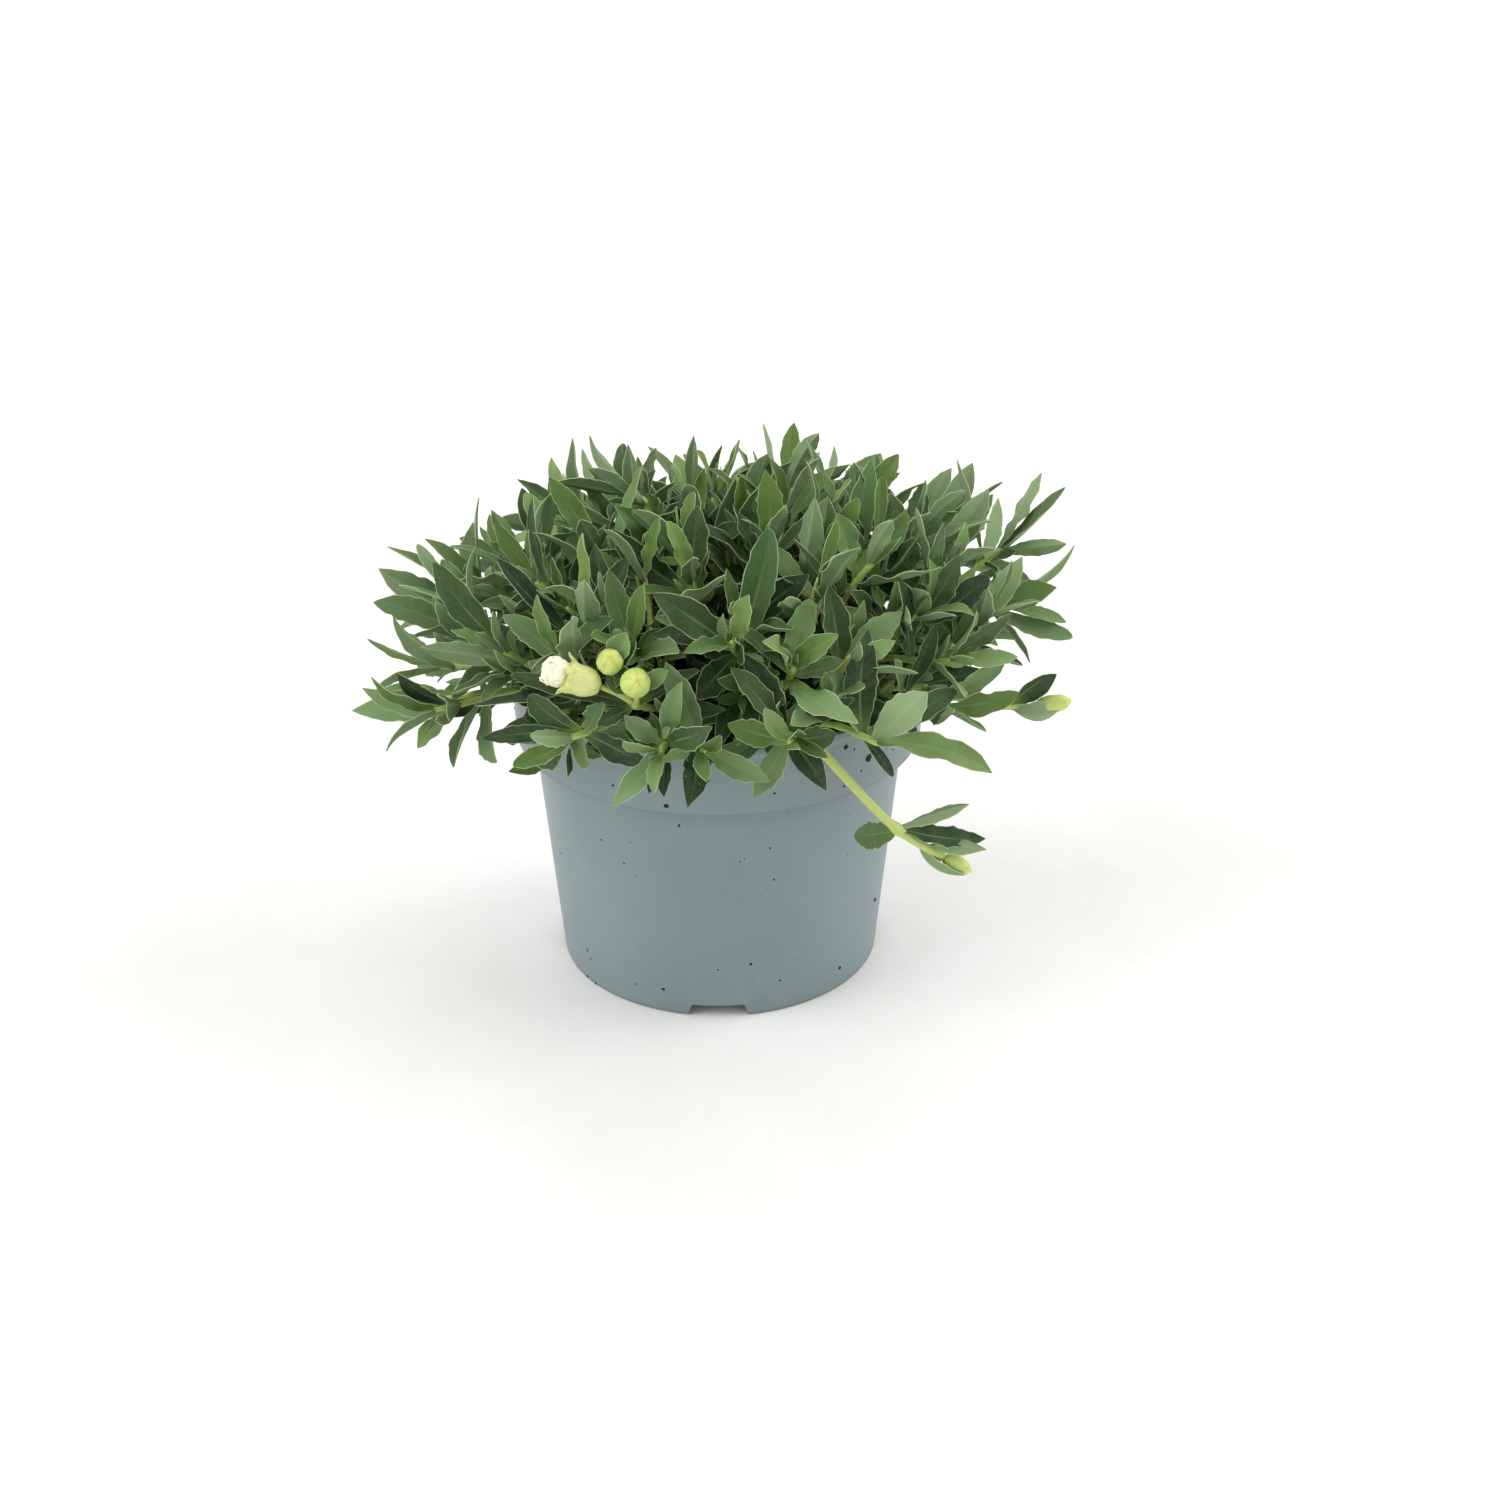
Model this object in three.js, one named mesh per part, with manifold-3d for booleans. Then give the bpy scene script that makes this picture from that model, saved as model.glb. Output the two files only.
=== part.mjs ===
// A sea campion in a round nursery pot: a low dome of leafy stems with paired lance-shaped leaves,
// four buds and one flower that is still furled.
// Millimetres, +Z up, the pot's axis on Z, its foot at Z = 0.
import * as THREE from 'three';
import { mergeVertices } from 'three/addons/utils/BufferGeometryUtils.js';
import Module from 'manifold-3d';

const wasm = await Module();
wasm.setup();

// Pot
const POT_HEIGHT = 98.4;
const RIM_RADIUS = 65;
const COLLAR_RADIUS = 63.3;
const COLLAR_LOW = 75.8;
const BODY_RADIUS_TOP = 57.8;
const BASE_RADIUS = 51;
const WALL = 1.2;
const FOOT_HEIGHT = 4.2;
const FLOOR_TOP = 5.4;
const NOTCHES = 4;
const NOTCH_TOP = 16;
const NOTCH_BOTTOM = 19.3;
const DRAIN_HOLES = 4;
const DRAIN_RADIUS = 4;
const DRAIN_RING = 33;
const POT_SIDES = 40;

// Soil
const SOIL_TOP = 90;
const SOIL_GAP = 0.3;
const SOIL_SIDES = 18;
const ROOT_DEPTH = 8;
const HOLE_GAP = 0.32;
const HOLE_SIDES = 4;

// Dome on which the stems end
const DOME_REACH = 88;
const DOME_RISE = 44;
const DOME_FOOT = 100;
const DOME_LEAN = 0.15;
const DOME_BACK = -3;
const MOST_BACK = 98.5;
const STEM_FOCUS = 52;
const CROWN_SPACING = 14;
const SPREAD_CROWNS = 110;
const MOST_STEMS = 52;

// Stems
const STEM_RADIUS = 1.3;
const STEM_SIDES = 3;
const PATH_SIDES = 6;
const STEM_STEPS = 4;
const FORK_STEPS = 3;
const FORK_AT = 2;
const ROOT_SCALE = 0.44;
const ROOT_REACH = 43;

// Leaves
const LEAF_THICKNESS = 0.8;
const CLEARANCE = 0.32;
const TRIES = 36;
const PAIR_DISTANCE = [2, 8, 16];
const PAIR_ANGLE = [24, 48, 72];
const PAIR_LENGTH = [21, 30, 34];
const PAIR_WIDTH = [6.6, 9.4, 10];
const PAIR_RECURVE = [0, 0.12, 0.2];
const PAIR_LIFT = [0.05, 0.2, 0.3];

const SEED = 9103;
const UP = new THREE.Vector3(0, 0, 1);
const DEGREE = Math.PI / 180;

const LEAF_GREEN = new THREE.MeshStandardMaterial({ color: 0x55705a, roughness: 0.6, metalness: 0 });
const POT_GREY = new THREE.MeshStandardMaterial({ color: 0x8fa2a5, roughness: 0.55, metalness: 0 });
const SOIL_BROWN = new THREE.MeshStandardMaterial({ color: 0x2c231c, roughness: 1, metalness: 0 });
const CALYX_GREEN = new THREE.MeshStandardMaterial({ color: 0xb9c66d, roughness: 0.55, metalness: 0 });
const PETAL_CREAM = new THREE.MeshStandardMaterial({ color: 0xf3eec6, roughness: 0.6, metalness: 0 });

// Stems placed by eye. crown: where the stem ends; toward: azimuth and rise of its tip in degrees;
// leaves: azimuth, rise, length and width of the leaves that are told apart, and for some the azimuth
// and rise to which the upper side faces. The rest follow the rule.
const PLACED = [
  {
    crown: [-76, 12, 119],
    toward: [178, 34],
    leaves: [[184, 26, 37, 8], [170, 44, 26, 8], [110, 78, 28, 7]],
  },
  { crown: [-75, -18, 114], toward: [190, 28], leaves: [[176, 28, 36, 9], [214, 40, 24, 8]] },
  {
    crown: [-60, -47, 121],
    toward: [205, 38],
    leaves: [[166, 47, 38, 10, 250, 20], [186, 8, 31, 9, 80, -30]],
  },
  { crown: [-83, -33, 110], toward: [190, 2], leaves: [[172, 16, 25, 8], [186, 40, 24, 8]], fork: 2 },
  { crown: [-80, -54, 106], toward: [205, 10], leaves: [[176, 6, 28, 8], [196, 34, 20, 7]] },
  {
    crown: [-79, -41, 103.5],
    toward: [190, -2],
    leaves: [[179, -2, 35, 11, 270, 50], [212, -46, 19, 8, 240, 30], [188, 10, 22, 7, 270, 60]],
    fork: 4,
  },
  {
    crown: [-40, -77, 108],
    toward: [222, 4],
    leaves: [[183, 0, 30, 7], [206, -26, 20, 8], [345, -12, 21, 9], [325, 42, 16, 8], [170, 28, 19, 8]],
  },
  {
    crown: [-15, -82, 106],
    toward: [255, 2],
    leaves: [[190, 45, 16, 7], [262, -52, 15, 5], [195, -4, 16, 7]],
  },
  { crown: [-3, -83, 107], toward: [262, 8], leaves: [[168, 66, 26, 9, 262, 20], [208, -4, 14, 7]], fork: 7 },
  {
    crown: [21, -82, 109],
    toward: [272, 22],
    leaves: [
      [150, 64, 27, 9, 265, 25], [168, 44, 30, 9, 262, 40], [188, 24, 19, 8],
      [212, 56, 14, 6], [222, -40, 19, 8, 262, 20], [350, 8, 14, 9],
    ],
  },
  {
    crown: [45, -74, 105],
    toward: [312, 20],
    leaves: [
      [100, 74, 32, 11, 270, 14], [330, 52, 25, 11, 92, -26], [20, 24, 32, 9, 280, 40],
      [8, -3, 38, 10, 270, 52], [330, -40, 15, 5], [152, 66, 26, 8],
    ],
  },
  {
    crown: [22, -67, 125],
    toward: [280, 48],
    leaves: [[50, 68, 23, 9, 270, 20], [350, 15, 17, 7], [173, 43, 25, 6]],
  },
  { crown: [8, -51, 134], toward: [275, 58], leaves: [[190, 8, 27, 9, 272, 40], [2, 42, 25, 9, 265, 20]] },
  { crown: [14, -17, 142], toward: [290, 76], leaves: [[70, 76, 25, 9], [160, 62, 19, 7], [320, 0, 15, 7]] },
  {
    crown: [-7, -37, 139],
    toward: [262, 66],
    leaves: [[66, 72, 27, 9], [162, 36, 32, 10, 262, 30], [205, 15, 18, 8]],
  },
  { crown: [-24, -59, 129], toward: [246, 48], leaves: [[130, 60, 24, 8]] },
  { crown: [38, -60, 125], toward: [300, 46], leaves: [[30, 40, 24, 9]] },
  {
    crown: [-27, 14, 149],
    toward: [165, 34],
    leaves: [[180, 56, 24, 7], [196, 48, 22, 8], [270, 74, 14, 6], [192, 14, 28, 8]],
    radius: 1.45,
  },
  { crown: [-35, -12, 139], toward: [200, 60], leaves: [[150, 46, 28, 8]] },
  { crown: [-53, -20, 132], toward: [196, 50], leaves: [[120, 70, 29, 8], [164, 44, 24, 7]] },
  { crown: [62, 30, 129], toward: [20, 50], leaves: [[0, 36, 35, 5]] },
  { crown: [61, -31, 127], toward: [330, 48], leaves: [[0, 58, 25, 10, 270, 25], [8, 26, 27, 10, 280, 50]] },
  {
    crown: [88, 17, 128],
    toward: [8, 36],
    leaves: [[0, 54, 33, 7], [6, 42, 36, 9], [350, 36, 29, 8], [165, 72, 34, 5]],
  },
  {
    crown: [90, 4, 115],
    toward: [355, 18],
    leaves: [[8, 34, 33, 8], [346, 40, 26, 10, 270, 40], [352, -14, 28, 8, 270, 60], [326, -22, 23, 7]],
  },
  { crown: [68, -43, 117], toward: [332, 30], leaves: [[14, 28, 27, 8]], fork: 21 },
  { crown: [66, -52, 106], toward: [330, 12], leaves: [[14, 20, 27, 8], [4, 6, 24, 8]] },
];

// Flowering stems: the path from the soil, the leaves and bracts, and the buds at their ends.
const TRAILING = {
  path: [
    [19, -17, 82], [22, -36, 98], [24, -55, 105.5], [28, -65.5, 101.5],
    [40, -68, 87.5], [52, -66.5, 74], [65.6, -63.7, 63.4],
  ],
  leaves: [
    [5.05, 192, 4, 16, 11, 268, 24], [5.0, 2, 24, 22, 6], [4.95, 12, -14, 28, 8, 270, 50],
    [5.95, 4, 8, 17, 6], [5.8, 350, -46, 18, 7],
  ],
  radius: 1.7,
};
const RIGHT_STEM = {
  path: [[24, -9, 82], [34, -14, 98], [58, -24, 104.5], [77, -30, 97], [93.7, -31.1, 95.9]],
  leaves: [[3.92, 4, 38, 19, 6], [3.9, 350, -8, 18, 7]],
  radius: 1.35,
};
const FLOWER_STEM = {
  path: [[-8, -27, 82], [-12, -42, 100], [-17, -64, 111], [-22, -75, 117]],
  branches: [
    [[-25.5, -76, 120.5], [-30.55, -76.5, 123.1]],
    [[-23.4, -72.4, 121], [-27.2, -72.85, 126.7]],
    [[-20.8, -77.3, 122.2]],
  ],
  leaves: [
    [2.4, 180, 17, 40, 7], [2.85, 150, 50, 18, 6], [2.9, 20, 28, 20, 6],
    [2.1, 340, 12, 22, 7], [2.95, 215, -22, 13, 5],
  ],
  radius: 1.2,
};
const FLOWER = { centre: [-35.2, -77, 125], axis: [186, 22], length: 9.4, radius: 3.9 };
const PETALS = { centre: [-42.65, -77.78, 128.1], axis: [186, 22], length: 7.8, radius: 4.2 };
const ROUND_BUDS = [
  { name: 'round_bud_upper', centre: [-28.2, -75.6, 130.2], axis: [250, 50], length: 7.6, radius: 3.6 },
  { name: 'round_bud_lower', centre: [-21.2, -80.2, 126], axis: [262, 52], length: 8.6, radius: 4.1 },
];
const TRAILING_BUD = { centre: [70, -63.6, 60.8], axis: [0, -30], length: 9.4, radius: 2.5 };
const RIGHT_BUD = { centre: [99.5, -31.5, 97.4], axis: [356, 14], length: 11, radius: 2.7 };

// A number from 0 to 1 that depends only on the whole numbers given
function draw(...keys) {
  let h = SEED;
  for (const key of keys) {
    h = Math.imul(h ^ ((key + 0x9e3779b9) | 0), 0x85ebca6b);
    h ^= h >>> 13;
    h = Math.imul(h, 0xc2b2ae35);
    h ^= h >>> 16;
  }
  return (h >>> 0) / 4294967296;
}

function vector(list) {
  return new THREE.Vector3(list[0], list[1], list[2]);
}

// Unit vector of an azimuth and a rise in degrees
function heading(azimuth, rise) {
  const flat = Math.cos(rise * DEGREE);
  return new THREE.Vector3(
    flat * Math.cos(azimuth * DEGREE),
    flat * Math.sin(azimuth * DEGREE),
    Math.sin(rise * DEGREE),
  );
}

// Closed geometry to solid: shared corners merged, empty triangles left out
function toSolid(geometry) {
  const bare = new THREE.BufferGeometry();
  bare.setAttribute('position', geometry.getAttribute('position').clone());
  if (geometry.index) {
    bare.setIndex(geometry.index.clone());
  }
  const merged = mergeVertices(bare, 1e-4);
  const index = merged.index.array;
  const kept = [];
  for (let i = 0; i < index.length; i += 3) {
    const [a, b, c] = [index[i], index[i + 1], index[i + 2]];
    if (a !== b && b !== c && c !== a) {
      kept.push(a, b, c);
    }
  }
  const vertProperties = new Float32Array(merged.getAttribute('position').array);
  const triVerts = new Uint32Array(kept);
  return new wasm.Manifold(new wasm.Mesh({ numProp: 3, vertProperties, triVerts }));
}

function toMesh(name, solid, material) {
  const { vertProperties, triVerts } = solid.getMesh();
  const geometry = new THREE.BufferGeometry();
  geometry.setAttribute('position', new THREE.BufferAttribute(new Float32Array(vertProperties), 3));
  geometry.setIndex(new THREE.BufferAttribute(new Uint32Array(triVerts), 1));
  geometry.computeVertexNormals();
  const mesh = new THREE.Mesh(geometry, material);
  mesh.name = name;
  return mesh;
}

// Profile of radius and height turned about Z, from axis to axis
function turned(profile, sides) {
  const lathe = new THREE.LatheGeometry(profile.map(([r, z]) => new THREE.Vector2(r, z)), sides);
  lathe.rotateX(Math.PI / 2);
  return lathe;
}

function bodyRadius(z) {
  return BASE_RADIUS + ((BODY_RADIUS_TOP - BASE_RADIUS) * z) / COLLAR_LOW;
}

function makePot() {
  const inside = COLLAR_RADIUS - WALL;
  const profile = [
    [0, FOOT_HEIGHT],
    [bodyRadius(FOOT_HEIGHT) - 1.8, FOOT_HEIGHT],
    [BASE_RADIUS - 1.8, 0],
    [BASE_RADIUS - 0.5, 0],
    [BASE_RADIUS, 0.6],
    [BODY_RADIUS_TOP, COLLAR_LOW - 0.4],
    [COLLAR_RADIUS - 0.6, COLLAR_LOW],
    [COLLAR_RADIUS, COLLAR_LOW + 0.8],
    [COLLAR_RADIUS + 0.6, POT_HEIGHT - 3.6],
    [RIM_RADIUS, POT_HEIGHT - 2.4],
    [RIM_RADIUS, POT_HEIGHT - 0.8],
    [RIM_RADIUS - 0.8, POT_HEIGHT],
    [RIM_RADIUS - 1.8, POT_HEIGHT],
    [inside + 0.4, POT_HEIGHT - 1],
    [inside, COLLAR_LOW + 1.6],
    [BODY_RADIUS_TOP - WALL, COLLAR_LOW + 0.8],
    [bodyRadius(FLOOR_TOP) - WALL, FLOOR_TOP],
    [0, FLOOR_TOP],
  ];
  let pot = toSolid(turned(profile, POT_SIDES));
  const notch = new THREE.Shape();
  notch.moveTo(-NOTCH_BOTTOM / 2, -1);
  notch.lineTo(NOTCH_BOTTOM / 2, -1);
  notch.lineTo(NOTCH_BOTTOM / 2, 0);
  notch.lineTo(NOTCH_TOP / 2, FOOT_HEIGHT);
  notch.lineTo(-NOTCH_TOP / 2, FOOT_HEIGHT);
  notch.lineTo(-NOTCH_BOTTOM / 2, 0);
  for (let i = 0; i < NOTCHES; i += 1) {
    const cut = new THREE.ExtrudeGeometry(notch, { depth: 14, bevelEnabled: false });
    cut.rotateX(Math.PI / 2);
    cut.translate(0, -BASE_RADIUS + 8, 0);
    cut.rotateZ((i * 2 * Math.PI) / NOTCHES);
    pot = pot.subtract(toSolid(cut));
  }
  for (let i = 0; i < DRAIN_HOLES; i += 1) {
    const hole = new THREE.CylinderGeometry(DRAIN_RADIUS, DRAIN_RADIUS, 6, 6);
    hole.rotateX(Math.PI / 2);
    hole.translate(DRAIN_RING, 0, FOOT_HEIGHT + 0.6);
    hole.rotateZ(((i + 0.5) * 2 * Math.PI) / DRAIN_HOLES);
    pot = pot.subtract(toSolid(hole));
  }
  return pot;
}

// The soil fills the pot to a low crown of crumbs, with a plain hole for each stem
function makeSoil(stems) {
  const inside = COLLAR_RADIUS - WALL - SOIL_GAP;
  const profile = [
    [0, FLOOR_TOP + SOIL_GAP],
    [bodyRadius(FLOOR_TOP) - WALL - SOIL_GAP, FLOOR_TOP + SOIL_GAP],
    [BODY_RADIUS_TOP - WALL - SOIL_GAP, COLLAR_LOW + 0.8 + SOIL_GAP],
    [inside, COLLAR_LOW + 1.9],
    [inside, SOIL_TOP - 1.6],
    [50, SOIL_TOP - 0.6],
    [37, SOIL_TOP],
    [22, SOIL_TOP + 0.6],
    [0, SOIL_TOP + 1],
  ];
  const lathe = turned(profile, SOIL_SIDES);
  const place = lathe.getAttribute('position');
  const ringPoints = profile.length;
  for (let i = 0; i < place.count; i += 1) {
    const ring = i % ringPoints;
    const step = Math.floor(i / ringPoints) % SOIL_SIDES;
    if (ring > 4 && ring < ringPoints - 1) {
      place.setZ(i, place.getZ(i) + 1.4 * (draw(900, ring, step) - 0.5));
    }
  }
  let soil = toSolid(lathe);
  for (const stem of stems) {
    const [low, next] = stem.curve.getSpacedPoints(stem.steps);
    const along = next.clone().sub(low).normalize();
    const bottom = low.clone().addScaledVector(along, -0.4);
    const top = low.clone().addScaledVector(along, 26);
    const wide = (stem.radius + HOLE_GAP) / Math.cos(Math.PI / HOLE_SIDES);
    const hole = new THREE.CylinderGeometry(wide, wide, top.distanceTo(bottom), HOLE_SIDES);
    hole.applyQuaternion(new THREE.Quaternion().setFromUnitVectors(new THREE.Vector3(0, 1, 0), along));
    hole.translate(...top.clone().add(bottom).multiplyScalar(0.5).toArray());
    soil = soil.subtract(toSolid(hole));
  }
  return soil;
}

// Corners, triangles and outer box of a closed geometry, for telling whether two pieces cross
function shapeOf(geometry) {
  const place = geometry.getAttribute('position').array;
  const plain = Array.from({ length: place.length / 3 }, (_, i) => i);
  const index = geometry.index ? geometry.index.array : plain;
  const triangles = new Float64Array(index.length * 3);
  for (let i = 0; i < index.length; i += 1) {
    triangles[3 * i] = place[3 * index[i]];
    triangles[3 * i + 1] = place[3 * index[i] + 1];
    triangles[3 * i + 2] = place[3 * index[i] + 2];
  }
  return { triangles, box: new THREE.Box3().setFromArray(triangles) };
}

function segmentMeets(t, i, s, j, k) {
  const e1x = t[i + 3] - t[i];
  const e1y = t[i + 4] - t[i + 1];
  const e1z = t[i + 5] - t[i + 2];
  const e2x = t[i + 6] - t[i];
  const e2y = t[i + 7] - t[i + 1];
  const e2z = t[i + 8] - t[i + 2];
  const dx = s[k] - s[j];
  const dy = s[k + 1] - s[j + 1];
  const dz = s[k + 2] - s[j + 2];
  const px = dy * e2z - dz * e2y;
  const py = dz * e2x - dx * e2z;
  const pz = dx * e2y - dy * e2x;
  const det = e1x * px + e1y * py + e1z * pz;
  if (Math.abs(det) < 1e-12) {
    return false;
  }
  const ox = s[j] - t[i];
  const oy = s[j + 1] - t[i + 1];
  const oz = s[j + 2] - t[i + 2];
  const u = (ox * px + oy * py + oz * pz) / det;
  if (u < 0 || u > 1) {
    return false;
  }
  const qx = oy * e1z - oz * e1y;
  const qy = oz * e1x - ox * e1z;
  const qz = ox * e1y - oy * e1x;
  const v = (dx * qx + dy * qy + dz * qz) / det;
  if (v < 0 || u + v > 1) {
    return false;
  }
  const w = (e2x * qx + e2y * qy + e2z * qz) / det;
  return w >= 0 && w <= 1;
}

function apart(a, i, b, j) {
  for (let axis = 0; axis < 3; axis += 1) {
    const a0 = a[i + axis];
    const a1 = a[i + 3 + axis];
    const a2 = a[i + 6 + axis];
    const b0 = b[j + axis];
    const b1 = b[j + 3 + axis];
    const b2 = b[j + 6 + axis];
    if (Math.max(a0, a1, a2) < Math.min(b0, b1, b2) || Math.max(b0, b1, b2) < Math.min(a0, a1, a2)) {
      return true;
    }
  }
  return false;
}

// Whether the surfaces of two closed shapes cross
function cross(one, other) {
  if (!one.box.intersectsBox(other.box)) {
    return false;
  }
  const a = one.triangles;
  const b = other.triangles;
  for (let i = 0; i < a.length; i += 9) {
    for (let j = 0; j < b.length; j += 9) {
      if (apart(a, i, b, j)) {
        continue;
      }
      for (let edge = 0; edge < 3; edge += 1) {
        const from = 3 * edge;
        const to = 3 * ((edge + 1) % 3);
        if (segmentMeets(a, i, b, j + from, j + to) || segmentMeets(b, j, a, i + from, i + to)) {
          return true;
        }
      }
    }
  }
  return false;
}

// Inside the pot's wall, foot or soil, with a margin
function inPot(point) {
  const r = Math.hypot(point.x, point.y);
  const z = point.z;
  if (r > RIM_RADIUS + 0.7 || z > POT_HEIGHT + 0.7) {
    return false;
  }
  if (r > 61.2) {
    return z > COLLAR_LOW - 1;
  }
  return z < SOIL_TOP + 2.4;
}

// Leaf outline between root and tip: share of the length and share of the half width
const TOLD_OUTLINE = [[0.14, 0.42], [0.45, 1], [0.78, 0.7]];
const LEAF_OUTLINE = [[0.3, 0.88], [0.68, 0.88]];
const YOUNG_OUTLINE = [[0.44, 1.04]];

// A leaf runs from its root along a bent midline. normal is its upper side, fold the lift of its halves.
function leafFrame(leaf, t) {
  const middle = leaf.root.clone().addScaledVector(leaf.start, leaf.length * 0.5);
  const tip = middle.clone().addScaledVector(leaf.end, leaf.length * 0.5);
  const point = leaf.root.clone().multiplyScalar((1 - t) * (1 - t));
  point.addScaledVector(middle, 2 * t * (1 - t));
  point.addScaledVector(tip, t * t);
  const along = leaf.start.clone().multiplyScalar(1 - t).addScaledVector(leaf.end, t).normalize();
  const across = new THREE.Vector3().crossVectors(along, leaf.normal).normalize();
  across.applyAxisAngle(along, leaf.twist * t);
  const upper = new THREE.Vector3().crossVectors(across, along);
  return { point, across, upper };
}

function leafOutline(leaf) {
  if (leaf.young) {
    return YOUNG_OUTLINE;
  }
  return leaf.told && leaf.length > 29 ? TOLD_OUTLINE : LEAF_OUTLINE;
}

// Closed blade, pointed at root and tip. margin 0 gives the leaf, more the slab of air kept round it
// from the share bare of its length outwards.
function bladeGeometry(leaf, margin, bare) {
  const slab = margin > 0;
  let outline = leafOutline(leaf);
  if (slab) {
    const [[firstAt, firstShare]] = outline;
    outline = [[bare, (firstShare * bare) / firstAt], ...outline.filter(([t]) => t > bare + 0.02)];
    outline[0][1] = Math.min(outline[0][1], 1);
  }
  const slim = !leaf.told;
  const around = slab ? 6 : slim ? 3 : 4;
  const place = [];
  const index = [];
  const root = leafFrame(leaf, slab ? bare - margin / leaf.length : 0).point;
  place.push(root.x, root.y, root.z);
  outline.forEach(([t, share], ring) => {
    const { point, across, upper } = leafFrame(leaf, t);
    const half = (leaf.width / 2) * share + margin;
    const wave = leaf.wave * leaf.width * (ring % 2 === 0 ? 1 : -1);
    const side = (sign, lift) => {
      const p = point.clone().addScaledVector(across, sign * half * Math.cos(leaf.fold));
      p.addScaledVector(upper, half * Math.sin(leaf.fold) + sign * wave + lift);
      place.push(p.x, p.y, p.z);
    };
    const centre = (lift) => {
      const p = point.clone().addScaledVector(upper, lift);
      place.push(p.x, p.y, p.z);
    };
    if (slab) {
      side(-1, margin);
      centre(margin);
      side(1, margin);
      side(1, -margin);
      centre(-LEAF_THICKNESS - margin);
      side(-1, -margin);
    } else {
      side(-1, 0);
      if (!slim) {
        centre(0);
      }
      side(1, 0);
      centre(-LEAF_THICKNESS);
    }
  });
  const tip = leafFrame(leaf, 1 + margin / leaf.length).point;
  place.push(tip.x, tip.y, tip.z);
  const last = outline.length - 1;
  const at = (ring, k) => 1 + ring * around + (k % around);
  for (let k = 0; k < around; k += 1) {
    index.push(0, at(0, k + 1), at(0, k));
    index.push(at(last, k), at(last, k + 1), place.length / 3 - 1);
  }
  for (let ring = 0; ring < last; ring += 1) {
    for (let k = 0; k < around; k += 1) {
      const [a, b, c, d] = [at(ring, k), at(ring, k + 1), at(ring + 1, k), at(ring + 1, k + 1)];
      // the cut across each face runs from the edge to the middle, alike on both sides of the blade
      if (k % 2 === 0) {
        index.push(a, b, d, a, d, c);
      } else {
        index.push(a, b, c, b, d, c);
      }
    }
  }
  const geometry = new THREE.BufferGeometry();
  geometry.setAttribute('position', new THREE.Float32BufferAttribute(place, 3));
  geometry.setIndex(index);
  return geometry;
}

// The leaf of one slot as the given try would place it: later tries stray further and shrink a little
function leafFor(slot, attempt) {
  const roll = (channel) => 2 * draw(slot.stem, slot.crown, slot.pair, slot.side, attempt, channel) - 1;
  const loose = slot.placed ? 0.35 + 0.03 * attempt : 1;
  const stray = attempt === 0 ? 0.6 : 1 + attempt * 0.035;
  const start = slot.start.clone();
  const sideways = slot.outward.clone().cross(slot.axis).normalize();
  start.addScaledVector(sideways, roll(0) * 0.3 * stray * loose);
  start.addScaledVector(slot.axis, roll(1) * 0.3 * stray * loose);
  start.normalize();
  const end = start.clone();
  end.addScaledVector(slot.outward, slot.recurve + roll(2) * 0.35 * stray);
  end.addScaledVector(UP, slot.lift + roll(3) * 0.2);
  end.addScaledVector(sideways, roll(4) * 0.25);
  end.normalize();
  const normal = slot.upper.clone().addScaledVector(sideways, roll(5) * 0.25 * stray);
  const shrink = 1 - 0.012 * attempt;
  return {
    root: slot.root.clone().addScaledVector(start, -0.5),
    told: slot.placed,
    young: !slot.placed && slot.pair === 0,
    start,
    end,
    normal,
    length: slot.length * shrink * (1 + 0.1 * roll(6) * loose),
    width: slot.width * Math.sqrt(shrink) * (1 + 0.12 * roll(7)),
    twist: (slot.placed ? 0.25 : 0.45) * roll(8) * stray,
    fold: 0.3 + 0.14 * roll(9),
    wave: 0.05 * roll(10),
    bare: slot.bare,
  };
}

// Point on the middle line of a crown's straight-sided tube, u from 0 at its start to 1 at its tip
function chordPoint(crown, u) {
  const place = u * (crown.chord.length - 1);
  const from = Math.min(Math.floor(place), crown.chord.length - 2);
  return crown.chord[from].clone().lerp(crown.chord[from + 1], place - from);
}

// Share of a leaf's length that is close to its own stem
function bareShare(radius, length) {
  return Math.min(0.3, (radius + 1.6) / length);
}

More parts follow.
